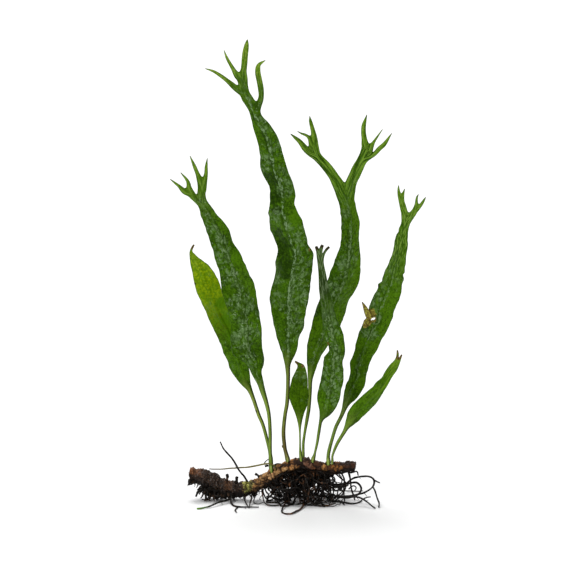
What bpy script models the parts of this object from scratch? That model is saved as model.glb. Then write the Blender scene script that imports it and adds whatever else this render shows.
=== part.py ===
"""A fork-tipped java fern: eight leaves on a creeping rhizome that stands on its tangle of roots.

The plant faces -Y and stands on the ground plane z = 0. Every length below is in millimetres
and is turned into metres when a point is placed.
"""

import math

import bmesh
import bpy
from mathutils import Vector, noise

MM = 0.001

# Clear space between pieces that touch in the real plant
GAP = 0.3

# Leaf outlines are written as they look from the front, from a little above
SIGHT_TILT = math.radians(12.0)
OUTLINE_LIFT = 0.5

# Leaf tissue: full thickness, and for narrow parts a least thickness with a share of the width
BLADE_THICKNESS = 1.1
BLADE_NARROW = (0.3, 0.45)
BLADE_POWER = 0.7
MARGIN_THICKNESS = 0.45
MARGIN_NARROW = (0.25, 0.3)

# Stalks are nearly round: thickness at the middle and at the sides as shares of the width
STALK_FLATNESS = 0.95
STALK_MARGIN = 0.45
STALK_POWER = 2.0
STALK_BLEND_BELOW = 3.6
STALK_BLEND_ABOVE = 12.0

# Blades twist and ruffle only where they are wide: not below the first width, in full from the second
RUFFLED_WIDTHS = (2.5, 8.0)
RUFFLE_LENGTH = 27.0
RUFFLE_DEPTH = 0.11
RUFFLE_SKEW = 1.9
RUFFLE_PHASE_STEP = 1.7
LEAF_COLUMNS = 4
# Leaves lean this many times further out of the picture's plane than the depths in their rows say
LEAF_SPREAD = 1.55

# Rhizome and roots
RHIZOME_SIDES = 10
RHIZOME_STEP = 2.1
RHIZOME_LUMP = 0.14
RHIZOME_LUMP_RATE = 0.42
RHIZOME_LUMP_REACH = 2.0
RHIZOME_RING_SWELL = 0.07
RHIZOME_RING_RATE = 2.4
STUB_SIDES = 5
STUB_SHARES = (0.0, 0.4, 0.8, 1.0)
STUB_TAPER = (1.0, 0.75, 0.6, 0.35)
STUB_BEND = 0.5
ROOT_SIDES = 5
ROOT_STEP = 2.4
ROOT_RADIUS = 0.38
ROOT_TIP_LOSS = 0.35
BRANCH_SHARE = 0.85

# Root mat, a ridged mound of root bundles with a flat foot
MAT_CENTRE = (3.3, 0.4)
MAT_HALF_SIZE = (19.8, 12.8)
MAT_HEIGHT = 16.5
MAT_SIDES = 36
MAT_LEVELS = (0.0, 0.1, 0.26, 0.43, 0.6, 0.76, 0.88, 0.96)
MAT_DOME_POWERS = (2.4, 0.55)
MAT_FOOT_SHARE = 0.93
MAT_FOOT_LEVEL = 0.25
MAT_BUNDLES = 12
MAT_BUNDLE_SHIFT = (1.6, 2.0, 0.7)
MAT_RIDGE = 0.055
MAT_LUMP = 1.6
MAT_LUMP_RATE = 0.17
MAT_LUMP_START = (3.0, 1.0, 7.0)

LEAF_GREEN = (0.045, 0.12, 0.012)
YOUNG_GREEN = (0.11, 0.2, 0.02)
RHIZOME_BROWN = (0.16, 0.075, 0.03)
ROOT_BLACK = (0.016, 0.011, 0.008)
RUNNER_OLIVE = (0.09, 0.08, 0.03)
LEAF_ROUGHNESS = 0.35
RHIZOME_ROUGHNESS = 0.6
ROOT_ROUGHNESS = 0.65

# Each leaf row is (x, height as seen, width, depth), from the foot in the rhizome to the fork or the tip.
# An arm is (share of the width at the fork, rows, arms), the left arm first.

FAR_LEFT_ROWS = (
    (-14.0, 13.5, 1.8, 2.3),
    (-14.3, 23.0, 1.5, 2.8),
    (-15.0, 30.0, 1.5, 3.2),
    (-17.2, 38.0, 1.5, 3.8),
    (-19.2, 43.0, 1.5, 4.2),
    (-22.5, 50.5, 1.7, 5.0),
    (-24.5, 55.5, 2.7, 5.6),
    (-26.5, 59.0, 5.0, 6.2),
    (-28.4, 64.5, 8.0, 7.0),
    (-30.4, 70.5, 10.2, 8.0),
    (-33.2, 78.0, 11.2, 9.3),
    (-36.0, 85.5, 11.6, 10.5),
    (-39.5, 92.0, 11.3, 11.5),
    (-41.6, 97.0, 11.6, 12.3),
    (-43.8, 102.5, 12.2, 13.2),
    (-45.6, 107.0, 12.2, 14.0),
    (-46.9, 110.5, 11.5, 14.6),
    (-48.5, 114.3, 9.8, 15.3),
    (-50.7, 119.0, 6.8, 16.2),
    (-53.3, 123.7, 2.3, 17.0),
    (-52.4, 128.3, 0.4, 17.5),
)

LEFT_FORKED_ROWS = (
    (-13.3, 12.5, 2.0, -0.7),
    (-13.9, 20.5, 2.1, -0.9),
    (-14.2, 27.0, 1.6, -1.1),
    (-14.2, 34.0, 1.5, -1.4),
    (-14.8, 43.0, 1.5, -1.8),
    (-16.1, 49.0, 1.8, -2.2),
    (-18.1, 55.5, 2.9, -2.6),
    (-19.1, 59.0, 3.4, -2.9),
    (-21.1, 64.5, 5.5, -3.3),
    (-21.7, 69.8, 9.0, -3.7),
    (-25.0, 75.5, 14.8, -4.1),
    (-25.9, 81.5, 15.0, -4.5),
    (-25.9, 87.0, 15.0, -4.9),
    (-27.4, 95.5, 15.6, -5.4),
    (-29.7, 105.3, 16.2, -5.9),
    (-31.5, 111.0, 14.6, -6.2),
    (-33.2, 117.0, 13.8, -6.5),
    (-35.4, 122.5, 13.0, -6.8),
    (-37.7, 128.0, 10.8, -7.1),
    (-39.0, 132.2, 10.5, -7.4),
    (-41.6, 137.8, 9.5, -7.8),
    (-44.8, 143.3, 8.0, -8.2),
    (-47.8, 148.5, 5.3, -8.7),
    (-49.8, 152.2, 7.7, -9.0),
)
LEFT_FORKED_ARMS = (
    (
        0.42,
        ((-53.7, 153.7, 4.0, -9.6), (-55.6, 155.3, 5.9, -10.0)),
        (
            (0.5, ((-59.5, 157.2, 1.6, -11.0), (-61.4, 158.7, 1.1, -11.8), (-63.8, 160.6, 0.3, -12.5)), ()),
            (0.5, ((-54.5, 157.9, 2.2, -10.2), (-55.5, 160.2, 1.5, -10.6), (-58.6, 163.9, 0.3, -11.2)), ()),
        ),
    ),
    (
        0.58,
        ((-48.1, 154.5, 4.3, -9.0), (-47.9, 158.3, 4.7, -9.0), (-48.0, 160.8, 5.5, -9.0)),
        (
            (0.55, ((-50.4, 163.7, 2.0, -9.2), (-51.7, 166.9, 1.8, -9.6), (-54.0, 172.2, 0.3, -10.4)), ()),
            (0.45, ((-46.0, 163.3, 1.9, -8.8), (-45.9, 166.9, 1.5, -8.2), (-45.4, 171.1, 0.3, -7.4)), ()),
        ),
    ),
)

TALL_ROWS = (
    (-5.3, 17.5, 2.8, -0.2),
    (-6.0, 22.0, 2.3, 0.1),
    (-6.8, 26.0, 1.9, 0.4),
    (-7.5, 34.0, 2.0, 0.9),
    (-6.7, 43.0, 1.9, 1.4),
    (-5.7, 49.0, 2.0, 1.7),
    (-5.2, 61.5, 2.1, 2.2),
    (-5.4, 67.5, 2.8, 2.5),
    (-5.3, 70.0, 4.1, 2.6),
    (-4.8, 75.5, 8.0, 2.8),
    (-5.4, 81.5, 11.2, 3.0),
    (-5.1, 87.5, 15.0, 3.2),
    (-5.0, 95.5, 17.3, 3.3),
    (-4.7, 101.5, 18.8, 3.2),
    (-4.0, 107.2, 19.5, 3.0),
    (-2.9, 114.3, 19.2, 2.7),
    (-1.5, 122.5, 17.5, 2.2),
    (-2.6, 127.0, 15.2, 1.9),
    (-4.5, 132.7, 16.1, 1.5),
    (-6.1, 137.8, 16.8, 1.0),
    (-7.8, 145.0, 14.2, 0.3),
    (-8.1, 152.0, 12.3, -0.5),
    (-9.1, 158.5, 11.2, -1.2),
    (-11.1, 163.0, 12.4, -1.8),
    (-12.6, 167.5, 12.5, -2.3),
    (-14.1, 175.5, 10.8, -3.3),
    (-17.3, 184.5, 9.2, -4.5),
    (-20.4, 190.5, 6.2, -5.3),
    (-21.6, 195.0, 5.6, -5.9),
    (-22.1, 199.1, 8.8, -6.4),
)
TALL_ARMS = (
    (
        0.62,
        ((-25.5, 201.7, 5.4, -6.8), (-26.9, 204.3, 5.2, -7.2), (-28.9, 207.9, 8.3, -7.6)),
        (
            (
                0.38,
                (
                    (-35.9, 210.8, 2.0, -8.6),
                    (-39.2, 213.2, 1.7, -9.2),
                    (-42.5, 215.1, 1.2, -10.0),
                    (-46.3, 216.3, 0.3, -11.0),
                ),
                (),
            ),
            (
                0.62,
                ((-27.5, 210.2, 4.9, -7.9), (-29.0, 213.8, 6.8, -8.2)),
                (
                    (
                        0.45,
                        ((-32.2, 215.7, 2.1, -8.6), (-35.6, 221.7, 1.3, -9.4), (-37.0, 225.4, 0.3, -10.0)),
                        (),
                    ),
                    (
                        0.55,
                        ((-27.2, 215.7, 2.8, -8.2), (-26.4, 223.9, 2.2, -7.6), (-25.5, 230.6, 0.3, -6.6)),
                        (),
                    ),
                ),
            ),
        ),
    ),
    (
        0.38,
        (
            (-18.6, 202.0, 2.5, -6.4),
            (-18.7, 206.1, 2.7, -6.6),
            (-19.4, 210.2, 2.6, -7.0),
            (-20.2, 214.3, 2.4, -7.6),
            (-20.1, 217.1, 2.0, -8.2),
            (-19.3, 218.6, 1.5, -8.8),
            (-16.5, 220.4, 0.3, -9.6),
        ),
        (),
    ),
)

SMALL_FRONT_ROWS = (
    (0.9, 18.5, 1.2, -2.3),
    (0.8, 28.5, 0.9, -3.1),
    (0.7, 35.5, 1.1, -3.8),
    (0.6, 40.3, 2.6, -4.3),
    (0.4, 45.0, 5.0, -4.8),
    (-0.2, 50.5, 8.6, -5.3),
    (0.0, 55.5, 8.9, -5.8),
    (0.5, 60.5, 7.5, -6.4),
    (1.2, 65.0, 5.2, -7.0),
    (1.0, 67.5, 3.4, -7.6),
    (-0.2, 68.6, 1.6, -8.2),
    (-1.6, 69.7, 0.4, -8.8),
)

BACK_FORKED_ROWS = (
    (2.1, 18.5, 1.6, 0.9),
    (2.4, 23.2, 1.3, 1.4),
    (2.5, 29.0, 1.4, 2.0),
    (3.3, 34.7, 1.4, 2.7),
    (4.3, 40.5, 1.8, 3.4),
    (5.2, 46.2, 1.9, 4.1),
    (5.8, 55.0, 2.0, 5.2),
    (5.9, 60.2, 2.4, 5.9),
    (6.4, 64.5, 3.8, 6.4),
    (7.0, 69.0, 5.6, 7.0),
    (8.2, 74.0, 8.6, 7.6),
    (10.3, 79.5, 10.9, 8.3),
    (13.7, 87.7, 13.0, 9.4),
    (15.9, 95.0, 14.0, 10.2),
    (18.8, 101.7, 14.4, 10.9),
    (21.2, 106.2, 15.0, 11.4),
    (22.9, 110.5, 15.0, 11.8),
    (24.7, 117.5, 12.8, 12.4),
    (25.2, 121.5, 11.4, 12.7),
    (25.8, 129.5, 9.2, 13.3),
    (26.0, 138.0, 9.3, 13.8),
    (25.0, 146.0, 8.4, 14.2),
    (24.0, 151.5, 8.9, 14.4),
    (23.2, 158.4, 12.5, 14.6),
)
BACK_FORKED_ARMS = (
    (
        0.51,
        (
            (17.3, 162.9, 5.0, 14.6),
            (13.9, 167.4, 4.7, 14.4),
            (9.8, 171.8, 4.5, 14.0),
            (6.5, 175.7, 8.1, 13.6),
        ),
        (
            (0.38, ((0.6, 179.8, 2.3, 12.8), (-2.0, 182.0, 1.4, 12.2), (-4.0, 183.6, 0.3, 11.6)), ()),
            (
                0.62,
                ((8.0, 178.3, 4.5, 13.6), (7.0, 181.0, 4.6, 13.4)),
                (
                    (
                        0.35,
                        ((3.7, 182.5, 1.3, 13.0), (1.5, 183.6, 0.9, 12.8), (-0.5, 184.9, 0.3, 12.4)),
                        (),
                    ),
                    (
                        0.65,
                        ((7.5, 184.2, 2.4, 13.4), (6.0, 190.0, 1.6, 13.8), (5.6, 192.5, 0.3, 14.2)),
                        (),
                    ),
                ),
            ),
        ),
    ),
    (
        0.49,
        (
            (28.0, 162.7, 5.7, 15.0),
            (29.7, 166.5, 5.5, 15.4),
            (32.2, 171.0, 5.2, 16.0),
            (35.1, 174.9, 8.2, 16.5),
        ),
        (
            (
                0.75,
                ((34.6, 178.0, 6.5, 16.9),),
                (
                    (
                        0.6,
                        (
                            (33.1, 180.5, 2.9, 17.2),
                            (32.6, 184.5, 2.5, 17.8),
                            (32.8, 188.2, 2.2, 18.4),
                            (34.3, 193.4, 0.3, 19.4),
                        ),
                        (),
                    ),
                    (
                        0.4,
                        ((37.5, 179.4, 1.5, 17.2), (39.3, 182.0, 1.0, 17.5), (42.1, 186.0, 0.3, 18.0)),
                        (),
                    ),
                ),
            ),
            (0.25, ((40.4, 176.2, 2.3, 16.4), (43.1, 178.7, 2.1, 16.0), (46.7, 184.0, 0.3, 15.0)), ()),
        ),
    ),
)

FRONT_NARROW_ROWS = (
    (7.7, 18.0, 1.5, -2.0),
    (8.3, 23.2, 1.1, -2.6),
    (9.4, 29.0, 1.4, -3.3),
    (10.3, 34.7, 1.6, -3.9),
    (11.0, 39.0, 1.7, -4.4),
    (11.7, 41.3, 2.7, -4.6),
    (13.4, 44.3, 6.2, -4.9),
    (14.5, 49.7, 10.3, -5.4),
    (15.5, 55.7, 10.9, -5.9),
    (17.1, 63.0, 11.4, -6.3),
    (17.2, 70.0, 9.8, -6.6),
    (18.6, 74.5, 8.6, -6.8),
    (18.7, 78.0, 7.7, -6.9),
    (17.2, 83.0, 9.1, -7.0),
    (15.3, 90.5, 7.9, -7.2),
    (14.2, 97.2, 6.1, -7.4),
    (13.1, 103.6, 5.3, -7.7),
    (12.6, 108.5, 4.0, -8.0),
    (11.8, 113.5, 3.4, -8.4),
    (11.0, 119.2, 3.2, -8.9),
    (10.9, 122.7, 4.0, -9.2),
)
FRONT_NARROW_ARMS = (
    (
        0.68,
        ((10.4, 125.0, 3.2, -9.4),),
        (
            (0.45, ((9.2, 125.9, 1.2, -9.6), (8.0, 126.6, 0.6, -9.9)), ()),
            (0.55, ((11.3, 126.6, 1.4, -9.4), (11.9, 127.9, 0.8, -9.6)), ()),
        ),
    ),
    (0.32, ((13.5, 125.2, 1.0, -9.0), (15.3, 127.0, 0.4, -8.6)), ()),
)

RIGHT_FORKED_ROWS = (
    (14.9, 15.5, 2.5, 1.2),
    (15.0, 20.5, 2.1, 1.4),
    (15.4, 25.0, 1.8, 1.6),
    (17.0, 31.0, 1.7, 2.0),
    (18.9, 37.0, 1.8, 2.4),
    (21.3, 41.8, 1.9, 2.8),
    (22.8, 45.5, 2.4, 3.1),
    (23.8, 48.3, 3.6, 3.4),
    (25.5, 51.7, 6.0, 3.8),
    (27.3, 56.2, 7.6, 4.3),
    (29.5, 61.2, 7.9, 4.9),
    (30.6, 67.0, 8.5, 5.5),
    (32.1, 72.8, 9.0, 6.1),
    (34.3, 78.0, 10.9, 6.7),
    (36.5, 83.5, 12.4, 7.3),
    (38.9, 87.5, 12.9, 7.8),
    (40.7, 91.5, 11.8, 8.2),
    (41.4, 96.0, 12.0, 8.6),
    (43.3, 100.5, 11.8, 9.0),
    (45.6, 105.5, 11.5, 9.4),
    (46.8, 110.5, 9.8, 9.8),
    (48.0, 114.2, 9.6, 10.1),
    (49.3, 118.5, 8.2, 10.4),
    (50.4, 123.3, 6.5, 10.7),
    (51.2, 127.5, 6.8, 11.0),
    (51.8, 132.0, 6.1, 11.3),
    (52.9, 136.0, 4.7, 11.5),
    (53.8, 139.5, 4.7, 11.7),
    (54.9, 143.3, 7.3, 11.9),
)
RIGHT_FORKED_ARMS = (
    (
        0.5,
        ((52.4, 147.0, 3.3, 12.2), (51.6, 150.2, 2.9, 12.4), (51.3, 153.0, 3.5, 12.6)),
        (
            (0.55, ((50.2, 154.9, 1.4, 12.7), (50.1, 156.5, 1.0, 12.9), (50.2, 158.0, 0.3, 13.1)), ()),
            (0.45, ((52.7, 154.7, 0.9, 12.6), (53.2, 156.2, 0.4, 12.5)), ()),
        ),
    ),
    (
        0.5,
        ((57.9, 144.6, 3.0, 12.0), (59.0, 146.2, 3.1, 12.2), (59.9, 147.7, 3.7, 12.4)),
        (
            (0.5, ((59.1, 150.0, 1.3, 12.7), (59.3, 151.8, 1.1, 12.9), (60.1, 153.5, 0.3, 13.1)), ()),
            (0.5, ((62.1, 149.2, 1.5, 12.2), (62.9, 150.6, 1.1, 12.0), (63.7, 152.0, 0.3, 11.8)), ()),
        ),
    ),
)

SMALL_RIGHT_ROWS = (
    (16.9, 17.0, 1.4, -1.1),
    (17.0, 22.0, 1.2, -1.6),
    (19.2, 28.0, 1.6, -2.3),
    (22.7, 34.0, 1.9, -3.1),
    (24.3, 37.0, 2.8, -3.6),
    (25.9, 39.5, 5.0, -4.0),
    (27.8, 42.5, 7.0, -4.5),
    (31.0, 46.6, 7.5, -5.2),
    (34.3, 50.0, 7.2, -6.0),
    (37.0, 52.7, 6.4, -6.6),
    (39.7, 55.5, 5.6, -7.3),
    (42.3, 59.0, 5.0, -8.0),
    (44.6, 62.6, 4.5, -8.8),
    (47.6, 66.9, 4.1, -9.8),
    (49.8, 70.8, 2.8, -10.6),
)
SMALL_RIGHT_ARMS = (
    (0.5, ((49.6, 73.0, 0.9, -11.1), (49.4, 75.3, 0.3, -11.8)), ()),
    (0.5, ((50.9, 71.9, 0.8, -10.8), (51.5, 72.8, 0.4, -11.0)), ()),
)

# Name, rows, arms, height where the stalk ends, twist of the blade, colour
LEAVES = (
    ("leaf_far_left", FAR_LEFT_ROWS, (), 52.0, -0.32, YOUNG_GREEN),
    ("leaf_left_forked", LEFT_FORKED_ROWS, LEFT_FORKED_ARMS, 52.0, 0.26, LEAF_GREEN),
    ("leaf_tall", TALL_ROWS, TALL_ARMS, 66.0, -0.2, LEAF_GREEN),
    ("leaf_small_front", SMALL_FRONT_ROWS, (), 36.0, 0.3, YOUNG_GREEN),
    ("leaf_back_forked", BACK_FORKED_ROWS, BACK_FORKED_ARMS, 60.0, 0.3, LEAF_GREEN),
    ("leaf_front_narrow", FRONT_NARROW_ROWS, FRONT_NARROW_ARMS, 40.0, -0.28, LEAF_GREEN),
    ("leaf_right_forked", RIGHT_FORKED_ROWS, RIGHT_FORKED_ARMS, 45.0, -0.3, LEAF_GREEN),
    ("leaf_small_right", SMALL_RIGHT_ROWS, SMALL_RIGHT_ARMS, 35.0, 0.35, YOUNG_GREEN),
)

# Rhizome points are (x, y, z, radius), from the cut old end to the growing end
RHIZOME_ROUTE = (
    (-55.0, 4.0, 12.7, 3.4),
    (-49.8, 3.6, 12.3, 4.0),
    (-44.4, 3.2, 11.1, 4.2),
    (-39.2, 2.6, 8.4, 3.9),
    (-33.2, 2.0, 7.0, 3.6),
    (-26.2, 1.4, 6.9, 3.4),
    (-20.7, 0.8, 8.7, 3.2),
    (-15.7, 0.4, 11.7, 3.0),
    (-10.7, 0.0, 14.9, 3.0),
    (-5.2, -0.4, 17.6, 2.9),
    (1.8, -0.5, 19.0, 2.8),
    (9.1, -0.3, 17.7, 2.7),
    (15.8, 0.0, 16.9, 2.5),
    (21.6, 0.6, 17.6, 2.3),
    (26.7, 1.2, 18.0, 2.2),
    (28.2, 1.3, 18.0, 1.5),
)

# Broken stubs of old roots on the rhizome: from, to, radius at the foot
ROOT_STUBS = (
    ((-53.0, 3.0, 11.5), (-55.6, 0.5, 7.4), 1.0),
    ((-49.5, 2.8, 11.0), (-51.0, -1.5, 2.6), 1.2),
    ((-45.0, 3.0, 9.5), (-45.5, 0.5, 0.9), 1.4),
    ((-47.5, 4.5, 10.0), (-48.5, 8.5, 3.2), 1.1),
    ((-39.0, 2.5, 7.5), (-40.5, -1.8, 1.4), 1.1),
    ((-35.5, 3.4, 6.2), (-36.4, 5.6, 2.0), 0.9),
    ((-36.0, 2.3, 8.0), (-35.8, 1.2, 13.4), 0.7),
    ((-31.0, 1.8, 8.0), (-31.3, 0.6, 12.4), 0.7),
    ((-21.5, 0.6, 9.5), (-21.0, -1.0, 14.2), 0.6),
    ((-42.4, 1.8, 8.0), (-42.8, -2.4, 1.6), 1.0),
    ((-38.6, 4.0, 6.2), (-38.2, 6.4, 1.8), 0.9),
    ((-30.6, 2.6, 5.4), (-31.4, 4.4, 0.9), 1.0),
    ((-26.8, 2.2, 5.6), (-26.6, 4.4, 1.0), 1.0),
    ((-22.4, 0.6, 6.8), (-21.8, -1.6, 2.0), 0.9),
    ((-21.0, 2.0, 7.2), (-20.6, 3.8, 2.4), 0.9),
)

# Roots that stand clear of the mat: their points are (x, y, z), and a branch is its own list of points
UPRIGHT_ROOT = ((-25.5, 1.2, 8.5), (-26.6, 0.4, 12.2), (-29.7, -0.8, 15.2), (-32.7, -1.8, 21.6),
                (-37.1, -2.6, 27.2), (-39.3, -3.0, 31.2))
RUNNER_ROOT = ((-11.4, -1.4, 15.0), (-11.2, -3.2, 18.2), (-13.2, -3.8, 20.0), (-17.0, -3.4, 20.1),
               (-23.2, -1.0, 18.7), (-29.0, 1.6, 17.2), (-34.9, 2.6, 16.8), (-44.8, 3.2, 16.8))
GREEN_TIP_ROOT = ((-31.5, 1.0, 5.0), (-34.0, -3.4, 2.0), (-36.4, -6.4, 1.5), (-40.0, -10.0, 1.4),
                  (-45.3, -16.0, 0.6), (-50.8, -18.7, 0.5))
HOOKED_ROOT = ((-28.6, 0.6, 5.0), (-30.4, -4.6, 1.8), (-32.4, -9.0, 0.8), (-31.2, -14.9, 0.5),
               (-26.1, -16.3, 0.5), (-19.9, -16.3, 0.5))
HOOKED_ROOT_BRANCHES = (
    ((-31.4, -14.6, 0.5), (-33.6, -18.6, 0.5), (-33.2, -23.4, 0.5), (-30.9, -26.6, 0.5)),
    ((-24.6, 0.4, 5.0), (-24.9, -5.0, 2.2), (-24.6, -10.6, 0.8), (-24.7, -16.2, 0.5)),
)
LEFT_LOOP_ROOT = ((-18.4, 0.2, 8.4), (-18.0, -4.4, 4.4), (-16.6, -9.0, 1.4), (-13.8, -12.3, 0.5),
                  (-10.2, -11.4, 0.6), (-6.0, -5.0, 1.6))
FRONT_LOOP_ROOT = ((2.4, -8.0, 2.2), (2.0, -15.6, 1.2), (-0.4, -23.4, 0.5), (-3.2, -29.4, 0.5),
                   (-5.4, -30.6, 0.5), (-7.8, -26.4, 0.5), (-8.0, -19.6, 0.6), (-5.4, -8.0, 2.4))
RIGHT_LOOP_ROOT = ((18.5, 0.0, 7.0), (23.4, -0.6, 8.6), (27.4, -2.0, 12.2), (34.0, -4.0, 13.8),
                   (37.9, -5.0, 12.2), (37.3, -5.0, 8.4), (33.2, -4.0, 5.2), (27.4, -2.0, 3.4),
                   (18.5, -1.0, 2.2))
RIGHT_LOOP_BRANCHES = (
    ((37.8, -5.0, 12.0), (39.4, -5.8, 11.3), (40.8, -6.6, 10.9)),
    ((37.3, -5.0, 8.6), (39.2, -6.8, 5.0), (40.1, -10.6, 2.0), (40.2, -15.6, 0.5)),
)
RIGHT_INNER_ROOT = ((18.5, 2.8, 7.2), (23.8, 3.2, 8.2), (28.9, 3.2, 8.7), (31.5, 2.8, 5.6),
                    (29.6, 2.8, 2.6), (24.6, 2.8, 1.0), (18.5, 2.8, 1.4))
RIGHT_FRONT_ROOT = ((17.0, -4.0, 4.0), (23.5, -7.4, 3.9), (29.6, -9.6, 4.4), (34.2, -13.2, 2.8),
                    (38.4, -18.0, 0.5))
RIGHT_FLOOR_ROOT = ((16.5, -3.0, 0.7), (23.2, -6.0, 0.5), (26.9, -7.4, 0.5), (30.2, -4.6, 0.5),
                    (31.8, -0.6, 0.5))
RIGHT_DROP_ROOT = ((24.6, 1.0, 17.4), (25.6, 0.8, 12.0), (26.4, 0.5, 8.2), (27.3, 0.3, 4.0),
                   (28.3, 0.4, 0.5))
END_STUB_ROOT = ((26.4, 1.0, 17.4), (28.6, 0.2, 15.8), (29.9, -0.2, 14.6), (30.2, -0.4, 13.0))
BACK_LEFT_ROOT = ((-6.0, 7.0, 3.6), (-10.6, 13.6, 1.4), (-13.6, 20.8, 0.5), (-10.6, 27.8, 0.5),
                  (-4.0, 30.6, 0.5), (2.0, 27.0, 0.5), (4.2, 19.0, 0.7), (4.6, 8.0, 2.4))
BACK_RIGHT_ROOT = ((13.0, 6.0, 4.6), (18.6, 12.6, 2.6), (25.2, 18.6, 0.6), (32.6, 20.2, 0.5))
BACK_OLD_ROOT = ((-42.0, 4.6, 9.0), (-41.0, 9.4, 3.6), (-37.6, 14.6, 0.8), (-31.0, 18.4, 0.5))

# Name, route, branches, radius, colour
ROOTS = (
    ("root_upright", UPRIGHT_ROOT, (), ROOT_RADIUS, ROOT_BLACK),
    ("root_runner", RUNNER_ROOT, (), 0.34, RUNNER_OLIVE),
    ("root_green_tip", GREEN_TIP_ROOT, (), 0.45, ROOT_BLACK),
    ("root_hooked", HOOKED_ROOT, HOOKED_ROOT_BRANCHES, 0.4, ROOT_BLACK),
    ("root_left_loop", LEFT_LOOP_ROOT, (), ROOT_RADIUS, ROOT_BLACK),
    ("root_front_loop", FRONT_LOOP_ROOT, (), 0.42, ROOT_BLACK),
    ("root_right_loop", RIGHT_LOOP_ROOT, RIGHT_LOOP_BRANCHES, 0.42, ROOT_BLACK),
    ("root_right_inner", RIGHT_INNER_ROOT, (), ROOT_RADIUS, ROOT_BLACK),
    ("root_right_front", RIGHT_FRONT_ROOT, (), ROOT_RADIUS, ROOT_BLACK),
    ("root_right_floor", RIGHT_FLOOR_ROOT, (), ROOT_RADIUS, ROOT_BLACK),
    ("root_right_drop", RIGHT_DROP_ROOT, (), 0.36, ROOT_BLACK),
    ("root_end_stub", END_STUB_ROOT, (), 0.36, ROOT_BLACK),
    ("root_back_left", BACK_LEFT_ROOT, (), 0.42, ROOT_BLACK),
    ("root_back_right", BACK_RIGHT_ROOT, (), ROOT_RADIUS, ROOT_BLACK),
    ("root_back_old", BACK_OLD_ROOT, (), ROOT_RADIUS, ROOT_BLACK),
)


def clear_scene():
    for old in list(bpy.data.objects):
        bpy.data.objects.remove(old)


def make_material(name, colour, roughness):
    material = bpy.data.materials.new(name)
    material.use_nodes = True
    shader = material.node_tree.nodes["Principled BSDF"]
    shader.inputs["Base Color"].default_value = (*colour, 1.0)
    shader.inputs["Roughness"].default_value = roughness
    shader.inputs["Metallic"].default_value = 0.0
    return material


def add_object(name, shape, material):
    """Turn a finished bmesh into a smooth-shaded object, with its faces pointing out."""
    bmesh.ops.recalc_face_normals(shape, faces=shape.faces)
    mesh = bpy.data.meshes.new(name)
    shape.to_mesh(mesh)
    shape.free()
    mesh.shade_smooth()
    piece = bpy.data.objects.new(name, mesh)
    bpy.context.scene.collection.objects.link(piece)
    if material:
        mesh.materials.append(material)
    return piece


def add_boolean(piece, other, operation):
    other.hide_render = True
    other.display_type = "WIRE"
    step = piece.modifiers.new(operation.lower(), "BOOLEAN")
    step.operation = operation
    step.solver = "EXACT"
    step.object = other


def smooth_step(low, high, value):
    t = min(max((value - low) / (high - low), 0.0), 1.0)
    return t * t * (3.0 - 2.0 * t)


# Leaves


def place_seen(x, seen, depth):
    """Metres of a point given by its height as seen from the front and a little above."""
    z = (seen + OUTLINE_LIFT - depth * math.sin(SIGHT_TILT)) / math.cos(SIGHT_TILT)
    return Vector((x, depth, z)) * MM


def count_tips(arms):
    if not arms:
        return 1
    return sum(count_tips(arm[2]) for arm in arms)


def thickness(across, width, roundness):
    """Thickness at a place from -1, the left margin, to 1, the right one."""
    blade_mid = min(BLADE_THICKNESS, BLADE_NARROW[0] + BLADE_NARROW[1] * width)
    blade_edge = min(MARGIN_THICKNESS, MARGIN_NARROW[0] + MARGIN_NARROW[1] * width)
    mid = roundness * STALK_FLATNESS * width + (1.0 - roundness) * blade_mid
    edge = roundness * STALK_MARGIN * width + (1.0 - roundness) * blade_edge
    power = roundness * STALK_POWER + (1.0 - roundness) * BLADE_POWER
    return edge + (mid - edge) * (1.0 - abs(across) ** power)


def make_row(shape, row, heading, fractions, leaf):
    """One cross row of a leaf: pairs of front and back points, from its left to its right margin."""
    x, seen, width, depth = row
    foot_depth, stalk_top, twist, phase = leaf
    depth = foot_depth + LEAF_SPREAD * (depth - foot_depth)
    roundness = 1.0 - smooth_step(stalk_top - STALK_BLEND_BELOW, stalk_top + STALK_BLEND_ABOVE, seen)
    ruffled = smooth_step(*RUFFLED_WIDTHS, width)
    pairs = []
    for fraction in fractions:
        across = 2.0 * fraction - 1.0
        reach = across * width / 2.0
        wave = math.sin(2.0 * math.pi * seen / RUFFLE_LENGTH + phase + RUFFLE_SKEW * across)
        lean = depth + ruffled * (twist * reach + RUFFLE_DEPTH * width * abs(across) * wave)
        point = (x + reach * heading[1], seen - reach * heading[0], lean)
        half = thickness(across, width, roundness) / 2.0
        middle = place_seen(*point)
        front = shape.verts.new(middle - Vector((0.0, half * MM, 0.0)))
        back = shape.verts.new(middle + Vector((0.0, half * MM, 0.0)))
        pairs.append((front, back))
    return pairs


def join_rows(shape, low, high):
    """Skin the stretch between two rows of the same number of pairs."""
    for (f0, b0), (f1, b1), (g0, c0), (g1, c1) in zip(low, low[1:], high, high[1:]):
        shape.faces.new((f0, f1, g1, g0))
        shape.faces.new((b1, b0, c0, c1))
    for side in (0, -1):
        shape.faces.new((low[side][0], high[side][0], high[side][1], low[side][1]))


def close_row(shape, pairs):
    for (f0, b0), (f1, b1) in zip(pairs, pairs[1:]):
        shape.faces.new((f0, b0, b1, f1))


def row_heading(before, after):
    """Unit direction of growth in the plane of the outline."""
    run = Vector((after[0] - before[0], after[1] - before[1]))
    return run.normalized()


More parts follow.
